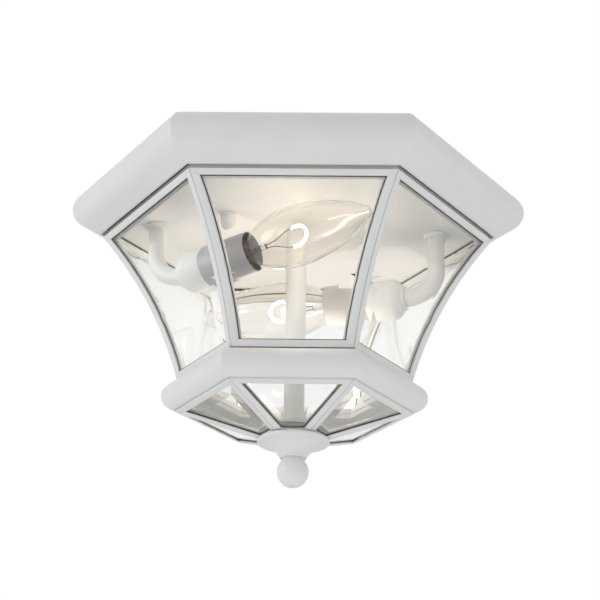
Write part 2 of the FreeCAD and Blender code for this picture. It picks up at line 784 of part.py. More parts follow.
def make_ball_nuts():
    """Round cap nuts that clamp the canopy to the strap's studs, each on its washer."""
    bore = d.stud_radius + d.fit_gap
    for name, side in (("left", -1), ("right", 1)):
        low = d.plate_drop + d.nut_washer_thickness
        washer = ring(f"washer_{name}", bore, d.nut_washer_radius, d.nut_washer_thickness)
        keep(washer, f"nut_washer_{name}", turned(0, stud_place(side, low)))
        radius = d.ball_nut_radius
        dome = d.ball_nut_height - radius
        nut = revolved(f"nut_{name}", [
            (bore, 0), (radius, 0), (radius, -dome), (0, -d.ball_nut_height, radius, -1),
            (0, -d.ball_nut_depth), (bore, -d.ball_nut_depth)])
        keep(nut, f"ball_nut_{name}", turned(0, stud_place(side, low)))


def flare_x(radius, centre_x, centre_z, drop):
    """Apothem at which a flare of this radius crosses a height."""
    return centre_x - other_side(radius, -drop - centre_z)


def bent_slab(name, thickness, top_inset, foot_inset):
    """A curved slab that follows the flare, centred in the frame's depth."""
    chord_x = cage_apothem - foot_apothem
    chord = root(chord_x * chord_x + d.cage_height * d.cage_height)
    reach = other_side(d.flare_radius, chord * HALF_SHARE) / chord
    centre_x = (cage_apothem + foot_apothem) * HALF_SHARE + d.cage_height * reach
    centre_z = -(cage_drop + d.cage_height * HALF_SHARE) - chord_x * reach
    middle = d.flare_radius + d.frame_depth * HALF_SHARE
    outer = middle - thickness * HALF_SHARE
    inner = middle + thickness * HALF_SHARE
    top = cage_drop + top_inset
    foot = foot_drop - foot_inset
    outline = [
        (flare_x(outer, centre_x, centre_z, top), -top),
        (flare_x(inner, centre_x, centre_z, top), -top),
        (flare_x(inner, centre_x, centre_z, foot), -foot, inner, 1),
        (flare_x(outer, centre_x, centre_z, foot), -foot),
    ]
    outline[0] = outline[0] + (outer, -1)
    return padded(name, "XZ_Plane", (cage_apothem + d.overrun) * 2, outline, both_ways=True)


def flat_slab(name, thickness, outer_inset, inner_inset):
    """A flat slab that falls towards the hub, centred in the frame's depth."""
    run = foot_apothem - d.lower_inner_apothem
    length = root(run * run + d.lower_fall * d.lower_fall)
    upright = length / run
    outer = foot_apothem - outer_inset
    inner = d.lower_inner_apothem + inner_inset
    margin = (d.frame_depth - thickness) * HALF_SHARE * upright
    fall_share = d.lower_fall / run
    low_outer = lower_drop + outer_inset * fall_share - margin
    low_inner = lower_end - inner_inset * fall_share - margin
    high = thickness * upright
    outline = [(outer, -low_outer), (outer, high - low_outer), (inner, high - low_inner), (inner, -low_inner)]
    return padded(name, "XZ_Plane", (foot_apothem + d.overrun) * 2, outline, both_ways=True)


def panel(prefix, slab, bars, reach, depth):
    """Frame blank, the tool that hollows it, and the glass: bars are side, outer and inner."""
    side, outer, inner = bars
    half_gap = d.frame_gap * HALF_SHARE
    blank = combined("Part::Common", f"{prefix}_blank", slab(f"{prefix}_slab", d.frame_depth, NOUGHT, NOUGHT),
                     sector(f"{prefix}_sector", half_gap, reach, depth))
    window_slab = slab(f"{prefix}_window_slab", d.frame_depth + d.overrun, outer, inner)
    window = combined("Part::Common", f"{prefix}_window", window_slab,
                      sector(f"{prefix}_window_sector", half_gap + side, reach, depth))
    shrink = [bar - d.glass_grip - d.glass_clearance for bar in (side, outer, inner)]
    groove_slab = slab(f"{prefix}_groove_slab", d.glass_thickness + d.glass_clearance * 2, shrink[1], shrink[2])
    groove = combined("Part::Common", f"{prefix}_groove", groove_slab,
                      sector(f"{prefix}_groove_sector", half_gap + shrink[0], reach, depth))
    tool = gathered("Part::MultiFuse", f"{prefix}_tool", [window, groove])
    grip = [bar - d.glass_grip for bar in (side, outer, inner)]
    glass_slab = slab(f"{prefix}_glass_slab", d.glass_thickness, grip[1], grip[2])
    glass_sector = sector(f"{prefix}_glass_sector", half_gap + grip[0], reach, depth)
    return blank, tool, glass_slab, glass_sector


def make_upper_cage():
    """Six bent frames, each with its pane of bent glass."""
    bars = (d.frame_side_bar, d.frame_top_bar, d.frame_foot_bar)
    blank, tool, glass_slab, glass_sector = panel("upper", bent_slab, bars, cage_apothem, foot_drop)
    for i in range(HEXAGON):
        frame = combined("Part::Cut", f"upper_frame_cut_{i + 1}", blank, tool)
        keep(frame, f"upper_frame_{i + 1}", turned((i - HALF_SHARE) * SIXTH))
        glass = combined("Part::Common", f"upper_glass_cut_{i + 1}", glass_slab, glass_sector)
        keep(glass, f"upper_glass_{i + 1}", turned((i - HALF_SHARE) * SIXTH))


def make_lower_cage():
    """Six flat frames and their panes, each set kept as one group."""
    bars = (d.lower_side_bar, d.lower_outer_bar, d.lower_inner_bar)
    blank, tool, glass_slab, glass_sector = panel("lower", flat_slab, bars, foot_apothem, lower_end)
    frames = []
    panes = []
    for i in range(HEXAGON):
        frame = combined("Part::Cut", f"lower_frame_{i + 1}", blank, tool)
        frame.Placement = turned((i - HALF_SHARE) * SIXTH)
        frames.append(frame)
        pane = combined("Part::Common", f"lower_pane_{i + 1}", glass_slab, glass_sector)
        pane.Placement = turned((i - HALF_SHARE) * SIXTH)
        panes.append(pane)
    keep(gathered("Part::Compound", "lower_frame_group", frames), "lower_frames")
    keep(gathered("Part::Compound", "lower_pane_group", panes), "lower_glass")


def make_cage_rings():
    """Top ring inside the canopy's lip, and the half-round moulding between the cages."""
    ring_outer = cage_apothem - d.top_ring_inset
    ring_inner = ring_outer - d.top_ring_wall
    ring_top = cage_drop - d.top_ring_height
    outline = [(ring_inner, -cage_drop), (ring_outer, -cage_drop),
               (ring_outer, -ring_top), (ring_inner, -ring_top)]
    top = hexagonal("top_ring", outline, ring_outer, cage_drop)
    keep(top, "cage_top_ring")
    lip_inner = foot_apothem + d.moulding_gap
    lip_outer = lip_inner + d.moulding_lip
    half = d.moulding_height * HALF_SHARE
    edge = arc_radius(half, d.moulding_bulge)
    ledge_inner = lip_inner - d.ledge_depth
    ledge_outer = foot_apothem - d.ledge_inset
    lower_ledge = lower_drop - d.frame_depth * root(WHOLE + fall_share() * fall_share())
    cavity_half = (lower_ledge - moulding_drop) * HALF_SHARE - d.moulding_wall
    cavity = arc_radius(cavity_half, d.moulding_bulge - d.moulding_wall)
    outline = [
        (ledge_outer, -foot_drop), (ledge_outer, -moulding_drop), (lip_outer, -moulding_drop),
        (lip_outer, -moulding_end, edge, -1), (lip_inner, -moulding_end), (lip_inner, -lower_ledge),
        (ledge_inner, -lower_ledge), (ledge_inner, d.moulding_wall - lower_ledge),
        (lip_outer, d.moulding_wall - lower_ledge), (lip_outer, -(moulding_drop + d.moulding_wall), cavity, 1),
        (ledge_inner, -(moulding_drop + d.moulding_wall)), (ledge_inner, -foot_drop),
    ]
    moulding = hexagonal("moulding", outline, lip_outer + d.moulding_bulge, moulding_end)
    keep(moulding, "mid_moulding")


def fall_share():
    """Fall of the lower panels for each unit of run."""
    return d.lower_fall / (foot_apothem - d.lower_inner_apothem)


def make_hub():
    """Hub that ties the lower frames together, the bell cap under it and the ball finial."""
    bore = d.rod_radius + d.slide_gap
    under = hub_drop + d.hub_thickness
    boss_end = under + d.hub_boss_height
    keep(revolved("hub", [
        (bore, -hub_drop), (d.hub_radius, -hub_drop), (d.hub_radius, -under),
        (d.hub_boss_radius, -under), (d.hub_boss_radius, -boss_end), (bore, -boss_end)]), "bottom_hub")
    rim_end = cap_drop + d.cap_rim_height
    rim_edge = d.cap_rim_radius - d.cap_rim_bulge
    rim_curve = arc_radius(d.cap_rim_height * HALF_SHARE, d.cap_rim_bulge)
    keep(revolved("cap", [
        (bore, -boss_end), (rim_edge - d.cap_wall, -boss_end), (rim_edge - d.cap_wall, -cap_drop),
        (rim_edge, -cap_drop), (rim_edge, -rim_end, rim_curve, -1),
        (d.cap_neck_radius, -cap_end, d.cap_sweep_radius, 1), (bore, -cap_end)]), "bottom_cap")
    thread = d.rod_radius + d.fit_gap
    washer = ring("finial_washer_body", thread, d.finial_washer_radius, d.finial_washer_thickness)
    keep(washer, "finial_washer", turned(0, vector(0, 0, -finial_seat_drop)))
    flat = other_side(d.finial_radius, d.finial_washer_radius)
    floor = finial_seat_drop + d.finial_thread_depth
    bottom = finial_seat_drop + flat + d.finial_radius
    keep(revolved("finial", [
        (thread, -finial_seat_drop), (d.finial_washer_radius, -finial_seat_drop),
        (d.finial_radius, -(finial_seat_drop + flat), d.finial_radius, -1),
        (0, -bottom, d.finial_radius, -1), (0, -floor), (thread, -floor)]), "finial_ball")


def check_parts():
    """Stop if any object failed or any sub-part is not a sound solid."""
    for thing in doc.Objects:
        for word in ("Invalid", "Error"):
            if word in thing.State:
                raise RuntimeError(f"{thing.Label} is {word}")
    for part in parts:
        if part.Shape.isNull() or not part.Shape.isValid() or not part.Shape.Solids:
            raise RuntimeError(f"{part.Label} has no sound solid")


def write_parts():
    """Write each sub-part to its own file."""
    os.makedirs("parts", exist_ok=True)
    for part in parts:
        part.Shape.exportStep(f"parts/{part.Label}.step")


make_canopy()
make_strap()
make_stem()
make_arms()
make_lights()
make_ball_nuts()
make_upper_cage()
make_cage_rings()
make_lower_cage()
make_hub()
doc.recompute()
check_parts()
write_parts()
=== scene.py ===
import json
import math
from collections import namedtuple

import bmesh
import bpy
from mathutils import Matrix, Vector

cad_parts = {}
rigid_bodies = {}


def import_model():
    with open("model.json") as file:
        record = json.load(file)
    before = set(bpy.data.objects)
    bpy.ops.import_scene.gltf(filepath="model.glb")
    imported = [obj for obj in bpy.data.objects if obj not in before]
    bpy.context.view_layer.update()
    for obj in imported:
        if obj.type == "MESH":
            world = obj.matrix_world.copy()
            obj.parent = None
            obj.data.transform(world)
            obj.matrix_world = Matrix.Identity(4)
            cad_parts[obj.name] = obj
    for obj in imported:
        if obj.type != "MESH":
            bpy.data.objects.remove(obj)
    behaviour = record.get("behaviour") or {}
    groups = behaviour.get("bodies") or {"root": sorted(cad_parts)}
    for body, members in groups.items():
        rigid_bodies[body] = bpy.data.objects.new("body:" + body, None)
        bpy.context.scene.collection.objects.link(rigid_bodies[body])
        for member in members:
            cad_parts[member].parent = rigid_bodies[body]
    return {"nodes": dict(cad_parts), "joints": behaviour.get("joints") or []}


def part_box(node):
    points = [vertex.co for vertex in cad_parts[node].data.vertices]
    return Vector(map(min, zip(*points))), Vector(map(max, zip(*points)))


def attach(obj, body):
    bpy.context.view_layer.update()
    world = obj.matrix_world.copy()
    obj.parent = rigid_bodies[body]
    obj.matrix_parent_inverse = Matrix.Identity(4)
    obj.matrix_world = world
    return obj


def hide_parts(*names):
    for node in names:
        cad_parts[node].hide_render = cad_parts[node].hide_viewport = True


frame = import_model()

bl_info = {
    "name": "Outdoor Ceiling Light",
    "version": (1, 0, 0),
    "blender": (4, 5, 0),
    "location": "3D View > Sidebar > Ceiling Light",
    "description": "Dresses the hexagonal ceiling light: powder coat, bevelled glass, lit bulbs and a studio",
    "category": "Add Mesh",
}

# Sizes are metres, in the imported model's frame: the ceiling is z = 0 and the flat
# front side faces -Y. A panel is modelled with its face towards +X and then
# copied round, so its outline is a list of four sides in that local frame.

MM = 0.001
SIXTH = math.radians(60)
AZIMUTHS = [SIXTH * (i - 0.5) for i in range(6)]
SIDES = ("left", "right")
UP = Vector((0, 0, 1))
WHITE = (1, 1, 1, 1)
EVEN = (1, 1, 1)

WELD = 0.001 * MM       # corners nearer than this are one
NEAR = 0.05 * MM        # vertices nearer than this to a side lie on it
FLAT = math.radians(0.1)
SOFT_EDGE = 30          # degrees between faces that still shade as one
FOLD = 25               # the same on folded sheet, in mitred bars, on ground glass and on blown glass
MITRE = 35
GROUND = 3
BLOWN = 60
FACING = 0.7            # cosine of the lean within which a face counts as an outer face

NOISE_LOW = 0.3         # where most of a noise texture's values lie
NOISE_HIGH = 0.7

EDGE_STEPS = 2          # parts of a rounded edge
THREAD_STEPS = 32       # parts of a turn, and of a pitch, in the threads that show
THREAD_ROUNDS = 8
HIDDEN_STEPS = 24       # and in those above the canopy
HIDDEN_ROUNDS = 2
FLARE_STEPS = 28
PAST = math.radians(2)  # how far a bent slab goes on beyond its panel
LATHE_STEPS = 64
SHOULDER_STEPS = 14
TAPER_STEPS = 20
TIP_STEPS = 6

SOFT_LAMPS = {"key": ((-1.9, -0.8, 0.3), 1.3),      # place and side of each soft box
              "fill": ((1.9, -0.7, -0.2), 1.2),
              "bounce": ((0, -0.3, -0.95), 1.4)}
LAMPS_AIM = Vector((0, 0, -0.09))
BULB_LAMP_SPOT = Vector((0, 0, 58 * MM))
BULB_LAMP_RADIUS = 4 * MM
GLOW_SIZE = 70 * MM
GLOW_BACK = 45 * MM     # how far behind the stem the glow's lamp lies, and how far above the frames' foot
GLOW_RISE = 4 * MM
FLOOR_STEPS = 96
FLOOR_RADIUS = 12
FLOOR_DEPTH = 2
FLOOR_GLOW = 0.8

CAMERA_PLACE = (0.0307, -1.1360, -0.5053)
CAMERA_TURN = math.radians(1.55)
CAMERA_RISE = math.radians(22.03)
CAMERA_ROLL = math.radians(1.07)
CAMERA_LENS = 125.646
CAMERA_SENSOR = 36
CAMERA_SHIFT = (0.00567, -0.0598)

Side = namedtuple("Side", "place outward share")
Clouds = namedtuple("Clouds", "size share detail tint", defaults=(1.0, 2.0, None))
Relief = namedtuple("Relief", "size depth detail strength stretch", defaults=(2.0, 1.0, EVEN))
Wear = namedtuple("Wear", "size low high detail", defaults=(2.0,))

cage_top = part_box("upper_frame_3")[1].z
cage_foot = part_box("upper_frame_3")[0].z
cage_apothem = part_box("upper_frame_3")[1].y
foot_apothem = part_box("lower_frames")[1].y
joints = {joint["name"]: joint for joint in frame["joints"]}


def linear(code):
    """An sRGB hex colour as linear red, green, blue and alpha."""
    parts = [int(code[i:i + 2], 16) / 255 for i in (1, 3, 5)]
    return tuple(c / 12.92 if c <= 0.04045 else ((c + 0.055) / 1.055) ** 2.4 for c in parts) + (1.0,)


def length(name, text, default):
    """A length that a user can change, in metres."""
    return bpy.props.FloatProperty(name=name, description=text, default=default, min=0.0, max=1.0,
                                   unit="LENGTH", precision=5)


def power(name, text, default):
    """A lamp's power that a user can change, in watts."""
    return bpy.props.FloatProperty(name=name, description=text, default=default, min=0.0, unit="POWER")


def tone(name, text, code):
    """A colour that a user can change."""
    return bpy.props.FloatVectorProperty(name=name, description=text, default=linear(code), size=4,
                                         min=0.0, max=1.0, subtype="COLOR")


class MetalSizes(bpy.types.PropertyGroup):
    sheet_edge: length("Sheet edge", "Rounding of the canopy's and mouldings' folded edges", 0.5 * MM)
    bar_edge: length("Bar edge", "Rounding of the frame bars, which also opens their mitre lines", 0.35 * MM)
    small_edge: length("Small edge", "Rounding of nuts, collars, cups and the cap", 0.25 * MM)
    half_gap: length("Half gap", "Half of the gap between two neighbouring frames", 0.2 * MM)
    side_bar: length("Side bar", "Width of the upper frames' side bars", 3.8 * MM)
    top_bar: length("Top bar", "Height of the upper frames' top bars", 2.9 * MM)
    foot_bar: length("Foot bar", "Height of the upper frames' foot bars", 4 * MM)
    lower_side_bar: length("Lower side bar", "Width of the lower frames' side bars", 3.3 * MM)
    lower_outer_bar: length("Lower outer bar", "Width of the lower frames' outer bars", 3.6 * MM)
    lower_inner_bar: length("Lower inner bar", "Width of the lower frames' inner bars", 3.4 * MM)
    inner_apothem: length("Inner apothem", "How near the lower frames come to the axis", 14.5 * MM)
    fall: length("Fall", "How far the lower frames fall from their rim to the hub", 16.4 * MM)
    rod_pitch: length("Rod pitch", "Pitch of the threaded rod", 1.27 * MM)
    rod_depth: length("Rod depth", "Depth of the rod's thread", 0.5 * MM)
    stud_crest: length("Stud crest", "Radius over the crests of the mounting studs", 2.08 * MM)
    stud_pitch: length("Stud pitch", "Pitch of the mounting studs", 0.794 * MM)
    stud_depth: length("Stud depth", "Depth of the studs' thread", 0.35 * MM)
    # Painted shade: a dark strip on the cage's ring stands for the shade in the gap under the canopy.
    gasket: length("Gasket", "Height of the foam gasket between the canopy and the cage's ring", 1.2 * MM)
    # Painted shade: a dark strip in the recess under the upper frames.
    foot_seal: length("Foot seal", "Height of the seal that shows under the upper frames", 0.7 * MM)
    foot_shadow_inset: length("Seal inset", "How far the foot seal stays behind the frames' faces", 0.1 * MM)


class PaneSizes(bpy.types.PropertyGroup):
    flare: length("Flare", "Radius that the upper panels' outer faces are bent to", 248.5 * MM)
    frame_depth: length("Frame depth", "Depth of the frames, with the glass in its middle", 4.4 * MM)
    glass: length("Glass", "Thickness of the panes", 3 * MM)
    grip: length("Grip", "How far the glass goes into the frame's groove", 2 * MM)
    bevel: length("Bevel", "Width of the upper panes' ground bevel, from the glass edge", 10 * MM)
    lower_bevel: length("Lower bevel", "Width of the lower panes' ground bevel, from the glass edge", 8 * MM)
    bevel_depth: length("Bevel depth", "Thickness that the bevel takes off the glass edge", 0.6 * MM)
    # Painted shade: the dark beads on the panes stand for the shade along the frames' window edges.
    shadow_bead_width: length("Seal width", "Glazing seal that shows beside the frame", 0.55 * MM)
    shadow_bead_height: length("Seal height", "How far the seal stands on the glass", 0.15 * MM)


class BulbSizes(bpy.types.PropertyGroup):
    long: length("Length", "From the centre contact to the tip", 100 * MM)
    radius: length("Radius", "Largest radius of the glass", 17.45 * MM)
    wide_at: length("Widest at", "Height of the largest radius", 52.5 * MM)
    neck: length("Neck", "Radius of the glass neck", 5.4 * MM)
    neck_start: length("Neck start", "Height where the glass begins, in the base", 14 * MM)
    neck_end: length("Neck end", "Height where the neck starts to swell", 19.5 * MM)
    tip: length("Tip", "Radius of the rounded tip", 4 * MM)
    wall: length("Wall", "Thickness of the glass", 0.8 * MM)
    base: length("Base", "Radius over the crests of the screw base", 5.9 * MM)
    base_start: length("Base start", "Height where the screw base begins", 3.4 * MM)
    base_end: length("Base end", "Height where the screw base ends", 19 * MM)
    pitch: length("Pitch", "Height of one turn of the screw base", 2.54 * MM)
    rolled: length("Rolled depth", "Depth of the rolled thread", 0.55 * MM)
    brass: length("Brass", "Thickness of the rolled brass", 0.3 * MM)
    shell_room: length("Shell room", "How much wider the socket's shell is than the base", 0.65 * MM)
    shell_start: length("Shell start", "Height where the socket's shell begins", 2 * MM)
    shell_end: length("Shell end", "Height where the socket's shell ends", 17 * MM)
    tip_lean: bpy.props.FloatProperty(name="Tip lean", description="Where the taper runs into the round tip",
                                      default=math.radians(33.5), min=0.0, max=math.pi / 2, subtype="ANGLE")
    lining: length("Lining", "Radius within which the socket sleeve is dark", 11.2 * MM)
    lit_from: length("Lit from", "Height where the glowing coil starts on its wires", 50 * MM)
    glare: length("Glare", "How much wider the glowing coil looks than its wire", 0.5 * MM)


class LampSettings(bpy.types.PropertyGroup):
    key: power("Key", "Power of the soft lamp at the upper left", 12.0)
    fill: power("Fill", "Power of the soft lamp at the right", 5.0)
    bounce: power("Bounce", "Power of the broad lamp below, for light off the ground", 3.0)
    bulb: power("Bulbs", "Power of each bulb", 0.026)
    glow: power("Glow", "Power of the light that panes and frames throw back up", 0.085)
    sky: bpy.props.FloatProperty(name="Sky", description="Strength of the even light from all round",
                                 default=0.52, min=0.0)
    warmth: tone("Warmth", "Colour of the bulbs' light", "#FFF1E2")


class Finishes(bpy.types.PropertyGroup):
    white_coat: tone("White coat", "Powder coat of the metalwork", "#EFEFEE")
    zinc: tone("Zinc", "Zinc plating of the hidden steel", "#B9BDC1")
    ground: tone("Ground screw", "Green of the ground screw", "#2F7A46")
    pane: tone("Pane", "Clear glass of the panes", "#FDFEFD")
    # Painted light: the bulbs' glass has a faint warm tint for the glow of the lit filaments.
    bulb: tone("Bulb glass", "Clear glass of the bulbs", "#FFFDFA")
    # Painted shade: dark colour of the beads along the window edges and of the strip under the upper frames.
    seal: tone("Seal", "Glazing seal round the panes", "#45413E")
    # Painted shade: dark colour of the strip in the gap under the canopy.
    gasket: tone("Gasket", "Foam gasket under the canopy", "#55524F")
    sleeve: tone("Sleeve", "Left socket's sleeve", "#A7A6AA")
    # Painted light: the right sleeve is the same plastic, paler where the bulb beside it lights it.
    sleeve_painted_lit: tone("Pale sleeve", "Right socket's sleeve", "#CFCDCB")
    insulator: tone("Insulator", "Phenolic socket bodies", "#2E2826")
    brass: tone("Brass", "Socket shells and bulb bases", "#B98A52")
    solder: tone("Contact", "Tinned centre contacts", "#A9A9A6")
    vitrite: tone("Base glass", "Black glass between base and contact", "#1B1A1C")
    nickel: tone("Support wires", "Nickel wires in the bulbs", "#8E8A84")
    lead: tone("Lead", "Sleeving of the wires in the arms", "#D9D6CE")


class CeilingLight(bpy.types.PropertyGroup):
    metal: bpy.props.PointerProperty(type=MetalSizes, name="Metal", description="Sizes of the metalwork")
    panes: bpy.props.PointerProperty(type=PaneSizes, name="Panes", description="Sizes of the glass")
    bulbs: bpy.props.PointerProperty(type=BulbSizes, name="Bulbs", description="Sizes of the bulbs")
    lamps: bpy.props.PointerProperty(type=LampSettings, name="Lamps", description="The studio's light")
    finishes: bpy.props.PointerProperty(type=Finishes, name="Finishes", description="Colours")


def settings():
    """The user's sizes and colours."""
    return bpy.context.scene.ceiling_light


# Materials

def node(tree, kind, inputs=None, **values):
    """Add a shader node with its settings; an input takes a value or another node's output."""
    made = tree.nodes.new("ShaderNode" + kind)
    for name, value in values.items():
        setattr(made, name, value)
    for key, value in (inputs or {}).items():
        if isinstance(value, bpy.types.NodeSocket):
            tree.links.new(value, made.inputs[key])
        else:
            made.inputs[key].default_value = value
    return made


def blank(name, **sockets):
    """A new material with one Principled shader, or None as its tree where it was made before."""
    if name in bpy.data.materials:
        return bpy.data.materials[name], None, None
    material = bpy.data.materials.new(name)
    material.use_nodes = True
    tree = material.node_tree
    tree.nodes.clear()
    shader = node(tree, "BsdfPrincipled", {key.replace("_", " "): value for key, value in sockets.items()})
    node(tree, "OutputMaterial", {"Surface": shader.outputs[0]})
    return material, tree, shader


def grain(tree, size, detail, stretch=EVEN):
    """Noise on Object coordinates whose bumps are this far apart, in metres."""
    spot = node(tree, "TexCoord").outputs["Object"]
    mapping = node(tree, "Mapping", {"Vector": spot, "Scale": stretch})
    noise = node(tree, "TexNoise", {"Vector": mapping.outputs[0], "Scale": 1 / size, "Detail": detail})
    return noise.outputs[0]


def patches(tree, size, detail, low, high):
    """Such noise, whose values lie near its middle, spread out between two numbers."""
    return node(tree, "MapRange", {"Value": grain(tree, size, detail), "From Min": NOISE_LOW,
                                   "From Max": NOISE_HIGH, "To Min": low, "To Max": high}).outputs[0]


def emboss(tree, shader, relief):
    """Raise the surface by noise."""
    heights = grain(tree, relief.size, relief.detail, relief.stretch)
    made = node(tree, "Bump", {"Height": heights, "Distance": relief.depth, "Strength": relief.strength})
    tree.links.new(made.outputs[0], shader.inputs["Normal"])


def surface(name, finish_name, clouds, relief=None, wear=None, **sockets):
    """A material of one finish, which clouds darken or tint, with relief and wear where they are given."""
    colour = getattr(settings().finishes, finish_name)[:]
    material, tree, shader = blank(name, **sockets)
    if tree:
        dark = clouds.tint or tuple(c * clouds.share for c in colour[:3]) + (1.0,)
        mix = node(tree, "Mix", {0: patches(tree, clouds.size, clouds.detail, 0, 1), 6: colour, 7: dark},
                   data_type="RGBA")
        tree.links.new(mix.outputs[2], shader.inputs["Base Color"])
        if wear:
            rough = patches(tree, wear.size, wear.detail, wear.low, wear.high)
            tree.links.new(rough, shader.inputs["Roughness"])
        if relief:
            emboss(tree, shader, relief)
    return material


def powder_coat():
    """Polyester powder coat baked on steel: satin, with an orange peel of about 1.5 mm between crests."""
    return surface("white_polyester_powder_coat", "white_coat", Clouds(30 * MM, 0.97),
                   Relief(1.5 * MM, 0.03 * MM, 3.0, 0.6), Wear(4 * MM, 0.38, 0.5), IOR=1.5)


def zinc_plate():
    """Bright zinc plating on rolled steel: clouded grey, with drawing lines along the sheet."""
    return surface("zinc_plated_rolled_steel", "zinc", Clouds(5 * MM, 0.75, 4.0),
                   Relief(0.6 * MM, 0.02 * MM, 2.0, 0.5, (0.1, 1, 1)), Wear(1.2 * MM, 0.28, 0.48, 3.0),
                   Metallic=1.0)


def green_screw():
    """Green lacquered steel, as earth screws have: glossy, thinner on the rubbed crests."""
    return surface("green_lacquered_steel", "ground", Clouds(0.8 * MM, 0.6, 3.0),
                   Relief(0.4 * MM, 0.01 * MM), Roughness=0.3, IOR=1.5)


def clear_glass(name, colour, ripple, depth):
    """Soda-lime glass, which lets the light of lamps straight through its walls."""
    material, tree, shader = blank(name, Base_Color=colour, Roughness=0.0, IOR=1.5, Transmission_Weight=1.0)
    if tree:
        emboss(tree, shader, Relief(ripple, depth, 1.0))
        path = node(tree, "LightPath")
        open_way = node(tree, "BsdfTransparent", {"Color": colour})
        mix = node(tree, "MixShader", {0: path.outputs["Is Shadow Ray"], 1: shader.outputs[0],
                                       2: open_way.outputs[0]})
        out = next(n for n in tree.nodes if n.type == "OUTPUT_MATERIAL")
        tree.links.new(mix.outputs[0], out.inputs["Surface"])
    return material


def pane_glass():
    """Float glass, ground and polished at the bevel: a very slight waviness of some 25 mm."""
    return clear_glass("bevelled_float_glass", settings().finishes.pane[:], 25 * MM, 0.001 * MM)


def bulb_glass():
    """Blown bulb glass: clear, with faint ripples round it from the mould."""
    return clear_glass("blown_bulb_glass", settings().finishes.bulb[:], 9 * MM, 0.003 * MM)


def shadow_bead_paint():
    """Black-brown matt bead with small waves along it, which paints the shade along the frames' window edges
    and under the upper frames.
    """
    return surface("tooled_silicone_seal", "seal", Clouds(6 * MM, 0.7),
                   Relief(2 * MM, 0.05 * MM), Roughness=0.55, IOR=1.41)


def gap_shadow_paint():
    """Near-black matt strip with fine cells in its relief, which paints the shade in the gap between the
    canopy and the cage.
    """
    return surface("closed_cell_foam", "gasket", Clouds(0.6 * MM, 0.6, 3.0),
                   Relief(0.6 * MM, 0.1 * MM), Roughness=0.9, IOR=1.5)


def moulded_sleeve(side):
    """Moulded polycarbonate candle sleeve: even and satin, with faint flow marks; the right one's paler
    colour is painted light from the bulb beside it.
    """
    return surface(f"moulded_polycarbonate_{side}", "sleeve" if side == "left" else "sleeve_painted_lit",
                   Clouds(8 * MM, 0.93), Relief(0.5 * MM, 0.01 * MM), Wear(1 * MM, 0.35, 0.45), IOR=1.58)


def phenolic():
    """Pressed phenolic resin: near black, filled with wood flour that shows as fine brown specks."""
    return surface("pressed_phenolic_resin", "insulator", Clouds(0.5 * MM, 2.2, 4.0),
                   Relief(0.3 * MM, 0.01 * MM), Roughness=0.5, IOR=1.6)


def rolled_brass():
    """Rolled brass sheet: warm, with cloudy tarnish and fine marks from the rolls."""
    return surface("rolled_brass_sheet", "brass", Clouds(3 * MM, 0.7, 4.0),
                   wear=Wear(0.7 * MM, 0.2, 0.4), Metallic=1.0)


def solder():
    """Tin solder on the centre contact: dull grey, softly dimpled."""
    return surface("tin_solder", "solder", Clouds(0.9 * MM, 0.8),
                   Relief(0.8 * MM, 0.05 * MM), Metallic=1.0, Roughness=0.4)


def vitrite():
    """Cast black base glass: glossy, with small cooling waves."""
    material, tree, shader = blank("cast_black_glass", Base_Color=settings().finishes.vitrite[:],
                                   Roughness=0.15, IOR=1.55)
    if tree:
        emboss(tree, shader, Relief(1.5 * MM, 0.05 * MM))
    return material


def nickel_wire():
    """Drawn nickel wire: grey, slightly blued by the heat."""
    return surface("drawn_nickel_wire", "nickel", Clouds(4 * MM, tint=linear("#6C6F7A")),
                   Metallic=1.0, Roughness=0.35)


def lit_tungsten():
    """Coiled tungsten at about 2700 K, so bright that it burns out to warm white."""
    return blank("lit_tungsten_coil", Base_Color=linear("#3A3633"), Metallic=1.0, Roughness=0.4,
                 Emission_Color=linear("#FFF0DC"), Emission_Strength=9.0)[0]


def wire_sleeving():
    """Extruded sleeving on the leads: soft, slightly ribbed by the wire's twist."""
    return surface("extruded_lead_sleeving", "lead", Clouds(3 * MM, 0.9),
                   Relief(0.8 * MM, 0.03 * MM), Roughness=0.45, IOR=1.5)


# Modelling helpers

def only(*objects):
    """Select these objects and nothing else; the first is active."""
    bpy.ops.object.select_all(action="DESELECT")
    for obj in objects:
        obj.select_set(True)
    bpy.context.view_layer.objects.active = objects[0]


def edit(obj):
    """Open a mesh for editing with all of it selected."""
    only(obj)
    bpy.ops.object.mode_set(mode="EDIT")
    bpy.ops.mesh.select_all(action="SELECT")


def leave():
    """Back to object mode."""
    bpy.ops.object.mode_set(mode="OBJECT")


def pick(obj, kind, test):
    """In edit mode, select only the vertices or faces that pass the test."""
    bpy.ops.mesh.select_all(action="DESELECT")
    bpy.ops.mesh.select_mode(type=kind)
    mesh = bmesh.from_edit_mesh(obj.data)
    mesh.normal_update()
    items = {"VERT": mesh.verts, "FACE": mesh.faces}[kind]
    for item in [i for i in items if test(i)]:
        item.select_set(True)
    bmesh.update_edit_mesh(obj.data)


def new_object(name):
    """Name the primitive that was just added and fix its place in its mesh."""
    obj = bpy.context.object
    obj.name = name
    bpy.ops.object.transform_apply()
    return obj


def place(obj, matrix):
    """Move a finished object to its place, in its mesh."""
    only(obj)
    obj.matrix_world = matrix
    bpy.ops.object.transform_apply()
    return obj


def copied(source, name, matrix=None):
    """A copy with a mesh of its own, moved to its place."""
    obj = bpy.data.objects.new(name, source.data.copy())
    bpy.context.scene.collection.objects.link(obj)
    return place(obj, matrix) if matrix else obj


def joined(objects, name):
    """Join objects into one."""
    only(*objects)
    bpy.ops.object.join()
    objects[0].name = name
    return objects[0]


